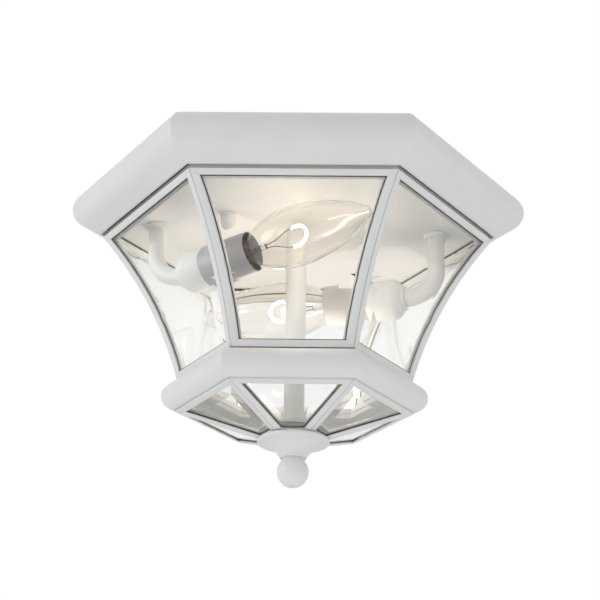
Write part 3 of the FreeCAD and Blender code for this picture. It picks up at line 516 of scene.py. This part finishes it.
def modify(obj, kind, **values):
    """Add a modifier and apply it."""
    only(obj)
    modifier = obj.modifiers.new(kind.title(), kind)
    for name, value in values.items():
        setattr(modifier, name, value)
    bpy.ops.object.modifier_apply(modifier=modifier.name)
    return obj


def welded(obj):
    """Join loose corners, clear old normals and melt flat faces together."""
    edit(obj)
    bpy.ops.mesh.remove_doubles(threshold=WELD)
    bpy.ops.mesh.dissolve_limited(angle_limit=FLAT)
    bpy.ops.mesh.customdata_custom_splitnormals_clear()
    leave()
    return obj


def rounded(obj, radius, angle=SOFT_EDGE):
    """Round every edge sharper than the angle, then shade smooth."""
    modify(obj, "BEVEL", width=radius, segments=EDGE_STEPS, limit_method="ANGLE",
           angle_limit=math.radians(angle), use_clamp_overlap=True, miter_outer="MITER_ARC")
    return smooth(obj)


def smooth(obj, angle=SOFT_EDGE):
    """Shade smooth except over edges sharper than the angle."""
    only(obj)
    bpy.ops.object.shade_smooth_by_angle(angle=math.radians(angle))
    return obj


def cut(spot, outward, clear=False, fill=False):
    """In edit mode, cut the whole mesh by a plane; what lies outward may go, and the cut be filled."""
    bpy.ops.mesh.select_all(action="SELECT")
    bpy.ops.mesh.bisect(plane_co=spot, plane_no=outward, clear_outer=clear, use_fill=fill, threshold=WELD)


def faces_out():
    """In edit mode, turn all the faces outward."""
    bpy.ops.mesh.select_all(action="SELECT")
    bpy.ops.mesh.normals_make_consistent(inside=False)


def knit(obj):
    """In edit mode, join loose corners and turn the faces outward, then go back to object mode."""
    bpy.ops.mesh.select_all(action="SELECT")
    bpy.ops.mesh.remove_doubles(threshold=WELD)
    faces_out()
    leave()
    return obj


def finish(obj, material, body, slot, *nodes):
    """Give a piece its material and its body, and hide the nodes that it stands for; the slot is not used."""
    obj.data.materials.clear()
    obj.data.materials.append(material)
    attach(obj, body)
    if nodes:
        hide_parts(*nodes)
    return obj


def paint(obj, material, test):
    """In edit mode, give the faces that pass the test a second material and leave them selected."""
    obj.data.materials.append(material)
    obj.active_material_index = len(obj.data.materials) - 1
    pick(obj, "FACE", test)
    bpy.ops.object.material_slot_assign()


def from_node(name, body, slot, material, edge, angle=SOFT_EDGE):
    """A welded copy of a CAD node with rounded edges, in the node's place."""
    obj = welded(copied(frame["nodes"][name], f"{name}_piece"))
    if edge:
        rounded(obj, edge, angle)
    else:
        smooth(obj)
    return finish(obj, material, body, slot, name)


def coated(name, body, edge, angle=SOFT_EDGE):
    """A powder-coated copy of a CAD node."""
    return from_node(name, body, "white_coat", powder_coat(), edge, angle)


def repaint(name, material):
    """Give a CAD node that stays its material."""
    for slot in frame["nodes"][name].material_slots:
        slot.material = material


# Panels: outlines, mitres, bevels and painted shadow beads

def sector_sides(inset):
    """The two upright sides of a sixth, moved in from the corners."""
    half = SIXTH / 2
    apex = Vector((inset / math.sin(half), 0, 0))
    return [Side(apex, Vector((-math.sin(half), way * math.cos(half), 0)), 1.0) for way in (1, -1)]


def upper_outline(side, top, foot):
    """Outline of an upper panel, so far in from the frame's own."""
    high = UP * (cage_top - top)
    low = UP * (cage_foot + foot)
    return sector_sides(settings().metal.half_gap + side) + [
        Side(spot, way, math.cos(flare_angle(spot.z))) for spot, way in ((high, UP), (low, -UP))]


def lower_outline(side, outer, inner):
    """Outline of a lower panel, so far in from the frame's own."""
    metal = settings().metal
    rim = Vector((foot_apothem - outer, 0, 0))
    hub = Vector((metal.inner_apothem + inner, 0, 0))
    return sector_sides(metal.half_gap + side) + [
        Side(rim, Vector((1, 0, 0)), 1.0), Side(hub, Vector((-1, 0, 0)), 1.0)]


def beyond(side, spot):
    """How far a point lies outward of a side."""
    return side.outward.dot(spot - side.place)


def meeting_point(first, second):
    """A point on both sides' planes."""
    a, b = first.outward, second.outward
    mixed = a.dot(b)
    one = a.dot(first.place)
    two = b.dot(second.place)
    return (a * (one - mixed * two) + b * (two - mixed * one)) / (1 - mixed * mixed)


def mitre_planes(outline, widths):
    """Planes through the outline's corners in which bars or bevels of these widths meet."""
    planes = {}
    for i in (0, 1):
        for j in (2, 3):
            normal = outline[j].outward / widths[j] - outline[i].outward / widths[i]
            planes[i, j] = (meeting_point(outline[i], outline[j]), normal.normalized())
    return planes


def mitred_bars(frame_blank, name, outline, widths, edge):
    """Cut a frame at its mitres, round each bar's edges and put the frame together again."""
    planes = mitre_planes(outline, widths)
    bars = []
    for number in range(4):
        bar = copied(frame_blank, f"{name}_bar_{number}")
        edit(bar)
        for (upright, level), (spot, normal) in planes.items():
            if number == level:
                cut(spot, -normal, clear=True, fill=True)
            if number == upright:
                cut(spot, normal, clear=True, fill=True)
        leave()
        bars.append(rounded(bar, edge, MITRE))
    return joined(bars, name)


def bevel_pane(pane, outline, width, outward, push):
    """Grind a bevel round a pane's outer face: cut its lines, then push the outline in."""
    widths = [width * side.share for side in outline]
    edit(pane)
    for side, inset in zip(outline, widths):
        cut(side.place - side.outward * inset, side.outward)
    for spot, normal in mitre_planes(outline, widths).values():
        cut(spot, normal)
    pick(pane, "VERT", lambda v: any(f.normal.dot(outward) > FACING for f in v.link_faces)
         and any(abs(beyond(side, v.co)) < NEAR for side in outline))
    bpy.ops.transform.translate(value=push)
    leave()
    return smooth(pane, GROUND)


def shadow_bead_round(pane, name, outline, outward):
    """A thin dark bead on the outer face of a pane, along the edge of the frame's window, which paints the
    shade there.
    """
    width = settings().panes.shadow_bead_width
    seal = copied(pane, name)
    edit(seal)
    for side in outline:
        cut(side.place, side.outward, clear=True)
    for side in outline:
        cut(side.place - side.outward * width * side.share, side.outward)
    pick(seal, "FACE", lambda f: f.normal.dot(outward) < 0 or all(
        beyond(side, f.calc_center_median()) < -width * side.share for side in outline))
    bpy.ops.mesh.delete(type="FACE")
    leave()
    modify(seal, "SOLIDIFY", thickness=settings().panes.shadow_bead_height, offset=1)
    return smooth(seal)


def ring_of_six(source, name):
    """Six copies round the axis as a list."""
    return [copied(source, f"{name}_{i}", Matrix.Rotation(turn, 4, "Z"))
            for i, turn in enumerate(AZIMUTHS, start=1)]


def drop(*objects):
    """Remove models that were only copied from."""
    for obj in objects:
        bpy.data.objects.remove(obj)


def one_of_six(name, new_name):
    """The first of a node's six like solids, welded and turned to face +X."""
    obj = welded(copied(frame["nodes"][name], new_name, Matrix.Rotation(-AZIMUTHS[0], 4, "Z")))
    edit(obj)
    pick(obj, "VERT", lambda v: v.co.x * math.tan(SIXTH / 2) > abs(v.co.y))
    bpy.ops.mesh.select_linked()
    bpy.ops.mesh.select_all(action="INVERT")
    bpy.ops.mesh.delete(type="VERT")
    leave()
    return obj


def thin_ring(name, share, height, top):
    """A copy of the cage's top ring, drawn in by a share and squashed, with its top at a height."""
    low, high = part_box("cage_top_ring")
    ring = welded(copied(frame["nodes"]["cage_top_ring"], name))
    edit(ring)
    bpy.ops.transform.resize(value=(share, share, height / (high.z - low.z)), center_override=UP * high.z)
    bpy.ops.transform.translate(value=UP * (top - high.z))
    leave()
    return smooth(ring)


def flare_centre():
    """Apothem and height of the centre that the upper panels are bent round, which lies outside."""
    run = cage_apothem - foot_apothem
    rise = cage_top - cage_foot
    chord = math.hypot(run, rise)
    reach = math.sqrt(settings().panes.flare ** 2 - (chord / 2) ** 2) / chord
    return (cage_apothem + foot_apothem) / 2 + rise * reach, (cage_top + cage_foot) / 2 - run * reach


def flare_angle(z):
    """Lean of the upper panels' outer face at a height."""
    return math.asin((z - flare_centre()[1]) / settings().panes.flare)


def bent_slab(name, near, far):
    """A wide slab bent round the flare's centre between two radii, past both ends of the panel."""
    centre_x, centre_z = flare_centre()
    start = flare_angle(cage_top) + PAST
    sweep = start - flare_angle(cage_foot) + PAST
    radius = (near + far) / 2
    spot = (centre_x - radius * math.cos(start), 0, centre_z + radius * math.sin(start))
    bpy.ops.mesh.primitive_plane_add(size=1, location=spot, rotation=(0, start, 0))
    bpy.context.object.scale = (far - near, 4 * cage_apothem, 1)
    slab = new_object(name)
    edit(slab)
    bpy.ops.mesh.spin(steps=FLARE_STEPS, angle=sweep, center=(centre_x, 0, centre_z), axis=(0, 1, 0))
    return knit(slab)


# Round pieces

def lathe(name, stations):
    """A closed round body: a circle drawn out through (radius, height) stations, closed at both ends."""
    least = WELD / 2
    radius, height = stations[0]
    bpy.ops.object.select_all(action="DESELECT")
    bpy.ops.mesh.primitive_circle_add(vertices=LATHE_STEPS, radius=max(radius, least), location=UP * height)
    obj = new_object(name)
    edit(obj)
    for next_radius, next_height in stations[1:]:
        share = max(next_radius, least) / max(radius, least)
        bpy.ops.mesh.extrude_edges_move(TRANSFORM_OT_translate={"value": UP * (next_height - height)})
        bpy.ops.transform.resize(value=(share, share, 1), center_override=UP * next_height)
        radius, height = next_radius, next_height
    return knit(obj)


def threaded(name, crest, depth, pitch, start, end, steps=THREAD_STEPS, rounds=THREAD_ROUNDS):
    """An open helical wall from start to end: one turn's wave, screwed along the axis."""
    turns = math.ceil((end - start) / pitch) + 2
    bpy.ops.object.select_all(action="DESELECT")
    bpy.ops.mesh.primitive_grid_add(x_subdivisions=1, y_subdivisions=rounds, size=pitch,
                                    rotation=(math.radians(90), 0, 0))
    obj = new_object(name)
    edit(obj)
    pick(obj, "VERT", lambda v: v.co.x > 0)
    bpy.ops.mesh.delete(type="VERT")
    for row in range(rounds + 1):
        height = pitch * (row / rounds - 0.5)
        hollow = depth * (1 - math.cos(math.tau * height / pitch)) / 2
        pick(obj, "VERT", lambda v: abs(v.co.z - height) < WELD)
        bpy.ops.transform.translate(value=(crest - hollow + pitch / 2, 0, 0))
    leave()
    place(obj, Matrix.Translation(UP * (start - pitch / 2)))
    modify(obj, "SCREW", angle=math.tau, screw_offset=pitch, iterations=turns, steps=steps,
           render_steps=steps, axis="Z", use_smooth_shade=True)
    edit(obj)
    bpy.ops.mesh.remove_doubles(threshold=WELD)
    for height, way in ((start, -1), (end, 1)):
        cut(UP * height, UP * way, clear=True)
    faces_out()
    leave()
    return obj


def close_ends(obj):
    """Fill the two open ends of a threaded wall."""
    edit(obj)
    bpy.ops.mesh.select_all(action="DESELECT")
    bpy.ops.mesh.select_non_manifold()
    bpy.ops.mesh.edge_face_add()
    faces_out()
    leave()
    return smooth(obj)


def quarter(start, wide, steps):
    """An arc from a start to the widest station, where it runs along the axis, without the start."""
    rise = wide[0] - start[0]
    run = wide[1] - start[1]
    radius = (run * run + rise * rise) / (2 * rise)
    turns = [math.asin(run / radius) * (1 - i / steps) for i in range(1, steps + 1)]
    return [(wide[0] - radius * (1 - math.cos(turn)), wide[1] - radius * math.sin(turn)) for turn in turns]


def bulb_profile(bulbs):
    """Inside of the bulb from tip to neck, then its outside back to the tip."""
    def side(wall):
        neck = bulbs.neck - wall
        widest = (bulbs.radius - wall, bulbs.wide_at)
        tip = bulbs.tip - wall
        lean = bulbs.tip_lean
        turns = [lean + (math.pi / 2 - lean) * i / TIP_STEPS for i in range(TIP_STEPS + 1)]
        end = [(tip * math.cos(turn), bulbs.long - bulbs.tip + tip * math.sin(turn)) for turn in turns]
        shoulder = quarter((neck, bulbs.neck_end), widest, SHOULDER_STEPS)
        taper = quarter(end[0], widest, TAPER_STEPS)[::-1]
        return [(neck, bulbs.neck_start), (neck, bulbs.neck_end)] + shoulder + taper[1:] + end
    return side(bulbs.wall)[::-1] + side(0)


def axis_frame(side):
    """The frame of a bulb: its origin is the bulb's foot and Z runs out of the socket."""
    joint = joints[f"bulb_{side}_turn"]
    out = Vector(joint["axis"]).normalized()
    down = (out * out.z - UP).normalized()
    turn = Matrix((down, out.cross(down), out)).transposed().to_4x4()
    return Matrix.Translation(joint["pos_m"]) @ turn


def light_up(filament, spot):
    """Light the far part of the wire, swollen to the burnt-out coil that the eye sees."""
    bulbs = settings().bulbs
    upright = spot.inverted()
    edit(filament)
    paint(filament, lit_tungsten(), lambda f: (upright @ f.calc_center_median()).z > bulbs.lit_from)
    bpy.ops.transform.shrink_fatten(value=bulbs.glare)
    leave()
    filament.visible_shadow = False


# Stage

def soft_lamp(name, spot, size, energy):
    """A square soft box that faces the light."""
    bpy.ops.object.light_add(type="AREA", location=spot)
    lamp = bpy.context.object
    lamp.name = name
    lamp.data.size = size
    lamp.data.energy = energy
    lamp.rotation_euler = (LAMPS_AIM - Vector(spot)).to_track_quat("-Z", "Y").to_euler()
    return lamp


def floor_paint():
    """Matt white floor that looks white from anywhere and still takes the light's soft shadow."""
    material, tree, shader = blank("matt_white_floor", Base_Color=linear("#F2F2F2"), Roughness=0.9)
    if tree:
        path = node(tree, "LightPath")
        seen = node(tree, "Math", {0: path.outputs["Is Camera Ray"], 1: FLOOR_GLOW}, operation="MULTIPLY")
        glow = node(tree, "Emission", {"Color": WHITE, "Strength": 1.0})
        mix = node(tree, "MixShader", {0: seen.outputs[0], 1: shader.outputs[0], 2: glow.outputs[0]})
        out = next(n for n in tree.nodes if n.type == "OUTPUT_MATERIAL")
        tree.links.new(mix.outputs[0], out.inputs["Surface"])
    return material


def white_world(strength):
    """White to the camera, in reflections and through glass; an even soft light to everything else."""
    world = bpy.data.worlds.new("white_surroundings")
    bpy.context.scene.world = world
    world.use_nodes = True
    tree = world.node_tree
    tree.nodes.clear()
    path = node(tree, "LightPath")
    seen = path.outputs["Is Camera Ray"]
    for ray in ("Is Glossy Ray", "Is Transmission Ray"):
        seen = node(tree, "Math", {0: seen, 1: path.outputs[ray]}, operation="MAXIMUM").outputs[0]
    light = node(tree, "Background", {"Color": linear("#FCFDFF"), "Strength": strength})
    view = node(tree, "Background", {"Color": WHITE, "Strength": 1.0})
    mix = node(tree, "MixShader", {0: seen, 1: light.outputs[0], 2: view.outputs[0]})
    node(tree, "OutputWorld", {"Surface": mix.outputs[0]})


def add_camera():
    """Camera below and in front of the light, looking up, as the photograph was taken."""
    bpy.ops.object.camera_add(location=CAMERA_PLACE)
    camera = bpy.context.object
    camera.name = "camera"
    yaw = Matrix.Rotation(CAMERA_TURN, 4, "Z")
    pitch = Matrix.Rotation(math.pi / 2 + CAMERA_RISE, 4, "X")
    roll = Matrix.Rotation(CAMERA_ROLL, 4, "Z")
    camera.matrix_world = Matrix.Translation(camera.location) @ yaw @ pitch @ roll
    camera.data.lens = CAMERA_LENS
    camera.data.sensor_width = CAMERA_SENSOR
    camera.data.shift_x, camera.data.shift_y = CAMERA_SHIFT
    bpy.context.scene.camera = camera


# Operators, one for each group of pieces

class MakeCanopy(bpy.types.Operator):
    """Canopy pan, pressed from sheet, with the round cap nuts and washers that clamp it."""
    bl_idname = "ceiling_light.make_canopy"
    bl_label = "Canopy"

    def execute(self, context):
        metal = settings().metal
        coated("canopy_pan", "canopy", metal.sheet_edge, FOLD)
        for side in SIDES:
            for name in (f"nut_washer_{side}", f"ball_nut_{side}"):
                coated(name, name, metal.small_edge)
        return {"FINISHED"}


class MakeMounting(bpy.types.Operator):
    """Bar, studs, rod, nuts and ground screw above the canopy."""
    bl_idname = "ceiling_light.make_mounting"
    bl_label = "Mounting hardware"

    def execute(self, context):
        metal = settings().metal
        zinc = zinc_plate()
        for name in ("mounting_bar", "stud_nuts", "rod_washer", "rod_nut", "arm_nuts"):
            from_node(name, "canopy", "zinc_steel", zinc, metal.small_edge)
        from_node("ground_screw", "canopy", "ground_green", green_screw(), metal.small_edge)
        rod_low, rod_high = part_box("threaded_rod")
        rod = threaded("rod", rod_high.x, metal.rod_depth, metal.rod_pitch, rod_low.z, rod_high.z,
                       HIDDEN_STEPS, HIDDEN_ROUNDS)
        finish(close_ends(rod), zinc, "canopy", "zinc_steel", "threaded_rod")
        low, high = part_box("mounting_studs")
        crest = metal.stud_crest
        stud = close_ends(threaded("stud", crest, metal.stud_depth, metal.stud_pitch, low.z, high.z,
                                   HIDDEN_STEPS, HIDDEN_ROUNDS))
        reach = Vector((high.x - crest, high.y - crest, 0))
        studs = [copied(stud, f"stud_{side}", Matrix.Translation(reach * way))
                 for side, way in zip(SIDES, (-1, 1))]
        drop(stud)
        finish(joined(studs, "studs"), zinc, "canopy", "zinc_steel", "mounting_studs")
        return {"FINISHED"}


class MakeStem(bpy.types.Operator):
    """Stem tube, hub, bell cap and ball finial on the light's axis."""
    bl_idname = "ceiling_light.make_stem"
    bl_label = "Stem and finial"

    def execute(self, context):
        bodies = {"stem_tube": "canopy", "bottom_hub": "cage", "bottom_cap": "cage",
                  "finial_washer": "finial_washer", "finial_ball": "finial_ball"}
        for name, body in bodies.items():
            coated(name, body, settings().metal.small_edge)
        return {"FINISHED"}


class MakeArms(bpy.types.Operator):
    """Bent arms with collars and leads, and the sockets at their ends."""
    bl_idname = "ceiling_light.make_arms"
    bl_label = "Arms and sockets"

    def execute(self, context):
        small = settings().metal.small_edge
        bulbs = settings().bulbs
        coated("arm_collars", "canopy", small)
        repaint("wire_leads", wire_sleeving())
        repaint("socket_contacts", rolled_brass())
        for side in SIDES:
            coated(f"arm_{side}", "canopy", 0)
            coated(f"socket_cup_{side}", "canopy", small)
            sleeve = from_node(f"socket_sleeve_{side}", "canopy", "socket_sleeve",
                               moulded_sleeve(side), small)
            upright = axis_frame(side).inverted()
            edit(sleeve)
            paint(sleeve, phenolic(), lambda f: (upright @ f.calc_center_median()).xy.length < bulbs.lining)
            leave()
            from_node(f"socket_insulator_{side}", "canopy", "socket_insulator", phenolic(), small)
            shell = threaded(f"socket_thread_{side}", bulbs.base + bulbs.shell_room, bulbs.rolled,
                             bulbs.pitch, bulbs.shell_start, bulbs.shell_end)
            modify(shell, "SOLIDIFY", thickness=bulbs.brass, offset=-1)
            place(smooth(shell), axis_frame(side))
            finish(shell, rolled_brass(), "canopy", "socket_brass", f"socket_shell_{side}")
        return {"FINISHED"}


class MakeFrames(bpy.types.Operator):
    """Six bent upper frames, each of four bars mitred at the corners."""
    bl_idname = "ceiling_light.make_frames"
    bl_label = "Upper frames"

    def execute(self, context):
        metal = settings().metal
        blank_frame = welded(copied(frame["nodes"]["upper_frame_1"], "upper_blank",
                                    Matrix.Rotation(-AZIMUTHS[0], 4, "Z")))
        widths = [metal.side_bar, metal.side_bar, metal.top_bar, metal.foot_bar]
        model = mitred_bars(blank_frame, "upper_model", upper_outline(0, 0, 0), widths, metal.bar_edge)
        for i, piece in enumerate(ring_of_six(model, "upper_frame_piece"), start=1):
            finish(piece, powder_coat(), "cage", "white_coat", f"upper_frame_{i}")
        drop(blank_frame, model)
        return {"FINISHED"}


class MakePanes(bpy.types.Operator):
    """Six bent panes with a ground bevel, and dark beads that paint the shade along their windows' edges."""
    bl_idname = "ceiling_light.make_panes"
    bl_label = "Upper panes"

    def execute(self, context):
        metal = settings().metal
        panes = settings().panes
        middle = panes.flare + panes.frame_depth / 2
        bars = (metal.side_bar, metal.top_bar, metal.foot_bar)
        outline = upper_outline(*[bar - panes.grip for bar in bars])
        model = bent_slab("pane_model", middle - panes.glass / 2, middle + panes.glass / 2)
        edit(model)
        for side in outline:
            cut(side.place, side.outward, clear=True, fill=True)
        leave()
        lean = (flare_angle(cage_top) + flare_angle(cage_foot)) / 2
        outward = Vector((math.cos(lean), 0, -math.sin(lean)))
        push = Vector((-panes.bevel_depth / math.cos(lean), 0, 0))
        bevel_pane(model, outline, panes.bevel, outward, push)
        # Dark beads round the window, painted shade.
        seal = shadow_bead_round(model, "seal_model", upper_outline(*bars), outward)
        for i, piece in enumerate(ring_of_six(model, "upper_pane"), start=1):
            finish(piece, pane_glass(), "cage", "pane_glass", f"upper_glass_{i}")
        for piece in ring_of_six(seal, "upper_seal"):
            finish(piece, shadow_bead_paint(), "cage", "pane_glass")
        drop(model, seal)
        return {"FINISHED"}


class MakeMoulding(bpy.types.Operator):
    """Ring at the cage's top with a dark strip that paints the shade of the gap under the canopy, and the
    half-round moulding with a dark strip on its ledge that paints the shade under the frames.
    """
    bl_idname = "ceiling_light.make_moulding"
    bl_label = "Ring and moulding"

    def execute(self, context):
        metal = settings().metal
        coated("cage_top_ring", "cage", metal.bar_edge)
        coated("mid_moulding", "cage", metal.bar_edge, FOLD)
        ring_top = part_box("cage_top_ring")[1]
        # A dark strip on the ring, painted shade in the gap under the canopy.
        gasket = thin_ring("top_gasket", 1, metal.gasket, ring_top.z + metal.gasket)
        finish(gasket, gap_shadow_paint(), "cage", "white_coat")
        # A dark strip on the moulding's ledge, painted shade under the upper frames.
        share = (foot_apothem - metal.foot_shadow_inset) / ring_top.y
        seal = thin_ring("foot_seal", share, metal.foot_seal, cage_foot)
        finish(seal, shadow_bead_paint(), "cage", "white_coat")
        return {"FINISHED"}


class MakeLowerCage(bpy.types.Operator):
    """Six flat lower frames, their bevelled panes and dark beads that paint the shade along their windows'
    edges.
    """
    bl_idname = "ceiling_light.make_lower_cage"
    bl_label = "Lower cage"

    def execute(self, context):
        metal = settings().metal
        panes = settings().panes
        fall = math.atan2(metal.fall, foot_apothem - metal.inner_apothem)
        outward = Vector((math.sin(fall), 0, -math.cos(fall)))
        blank_frame = one_of_six("lower_frames", "lower_blank")
        widths = [metal.lower_side_bar, metal.lower_side_bar, metal.lower_outer_bar, metal.lower_inner_bar]
        model = mitred_bars(blank_frame, "lower_model", lower_outline(0, 0, 0), widths, metal.bar_edge)
        frames = joined(ring_of_six(model, "lower_frame_piece"), "lower_frames_piece")
        finish(frames, powder_coat(), "cage", "white_coat", "lower_frames")
        inside = [width - panes.grip for width in widths[1:]]
        pane = one_of_six("lower_glass", "lower_pane_model")
        push = Vector((0, 0, panes.bevel_depth / math.cos(fall)))
        bevel_pane(pane, lower_outline(*inside), panes.lower_bevel, outward, push)
        # Dark beads round the windows, painted shade.
        seal = shadow_bead_round(pane, "lower_seal_model", lower_outline(*widths[1:]), outward)
        glass = joined(ring_of_six(pane, "lower_pane"), "lower_panes")
        finish(glass, pane_glass(), "cage", "pane_glass", "lower_glass")
        seals = joined(ring_of_six(seal, "lower_seal"), "lower_seals")
        finish(seals, shadow_bead_paint(), "cage", "pane_glass")
        drop(blank_frame, model, pane, seal)
        return {"FINISHED"}


class MakeBulbs(bpy.types.Operator):
    """Two candelabra bulbs: blown glass, screw base, contact, glass mount and lit filament."""
    bl_idname = "ceiling_light.make_bulbs"
    bl_label = "Bulbs"

    def execute(self, context):
        bulbs = settings().bulbs
        small = settings().metal.small_edge
        glass = smooth(lathe("bulb_glass_model", bulb_profile(bulbs)), BLOWN)
        for side in SIDES:
            body = f"bulb_{side}"
            spot = axis_frame(side)
            finish(copied(glass, f"bulb_glass_piece_{side}", spot), bulb_glass(), body, "bulb_glass",
                   f"bulb_glass_{side}")
            base = threaded(f"bulb_thread_{side}", bulbs.base, bulbs.rolled, bulbs.pitch,
                            bulbs.base_start, bulbs.base_end)
            modify(base, "SOLIDIFY", thickness=bulbs.brass, offset=-1)
            place(smooth(base), spot)
            finish(base, rolled_brass(), body, "bulb_base", f"bulb_base_{side}")
            from_node(f"bulb_insulator_{side}", body, "bulb_insulator", vitrite(), 0)
            from_node(f"bulb_contact_{side}", f"bulb_contact_{side}", "bulb_base", solder(), small)
            from_node(f"bulb_mount_{side}", body, "bulb_glass", bulb_glass(), 0)
            filament = from_node(f"bulb_filament_{side}", body, "filament", nickel_wire(), 0)
            light_up(filament, spot)
        drop(glass)
        return {"FINISHED"}


class MakeStage(bpy.types.Operator):
    """Pale floor, white surroundings, soft lamps, lit bulbs and the camera."""
    bl_idname = "ceiling_light.make_stage"
    bl_label = "Stage"

    def execute(self, context):
        lamps = settings().lamps
        bpy.ops.object.select_all(action="DESELECT")
        bpy.ops.mesh.primitive_circle_add(vertices=FLOOR_STEPS, radius=FLOOR_RADIUS, fill_type="NGON",
                                          location=-UP * FLOOR_DEPTH)
        floor = new_object("floor")
        floor.data.materials.append(floor_paint())
        white_world(lamps.sky)
        for name, (spot, size) in SOFT_LAMPS.items():
            soft_lamp(f"{name}_lamp", spot, size, getattr(lamps, name))
        for side in SIDES:
            bpy.ops.object.light_add(type="POINT", radius=BULB_LAMP_RADIUS,
                                     location=axis_frame(side) @ BULB_LAMP_SPOT)
            lamp = context.object
            lamp.name = f"bulb_lamp_{side}"
            lamp.data.energy = lamps.bulb
            lamp.data.color = lamps.warmth[:3]
        glow = soft_lamp("cage_glow", (0, GLOW_BACK, cage_foot + GLOW_RISE), GLOW_SIZE, lamps.glow)
        glow.rotation_euler = (math.pi, 0, 0)
        glow.data.color = lamps.warmth[:3]
        glow.visible_camera = glow.visible_glossy = glow.visible_transmission = False
        add_camera()
        context.scene.view_settings.view_transform = "Standard"
        return {"FINISHED"}


OPERATORS = (MakeCanopy, MakeMounting, MakeStem, MakeArms, MakeFrames, MakePanes, MakeMoulding,
             MakeLowerCage, MakeBulbs, MakeStage)


class CeilingLightPanel(bpy.types.Panel):
    """The ceiling light's pieces in the order in which they are made, and their settings."""
    bl_idname = "VIEW3D_PT_ceiling_light"
    bl_label = "Ceiling Light"
    bl_space_type = "VIEW_3D"
    bl_region_type = "UI"
    bl_category = "Ceiling Light"

    def draw(self, context):
        column = self.layout.column()
        for operator in OPERATORS:
            column.operator(operator.bl_idname)
        for part in CeilingLight.__annotations__:
            group = getattr(settings(), part)
            box = column.box()
            for name in group.__annotations__:
                box.prop(group, name)


GROUPS = (MetalSizes, PaneSizes, BulbSizes, LampSettings, Finishes, CeilingLight)


def register():
    for cls in GROUPS + OPERATORS + (CeilingLightPanel,):
        bpy.utils.register_class(cls)
    bpy.types.Scene.ceiling_light = bpy.props.PointerProperty(type=CeilingLight)


def unregister():
    del bpy.types.Scene.ceiling_light
    for cls in reversed(GROUPS + OPERATORS + (CeilingLightPanel,)):
        bpy.utils.unregister_class(cls)


def main():
    """Make every piece and the stage."""
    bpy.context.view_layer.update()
    register()
    for operator in OPERATORS:
        group, name = operator.bl_idname.split(".")
        getattr(getattr(bpy.ops, group), name)()


if __name__ == "__main__":
    main()
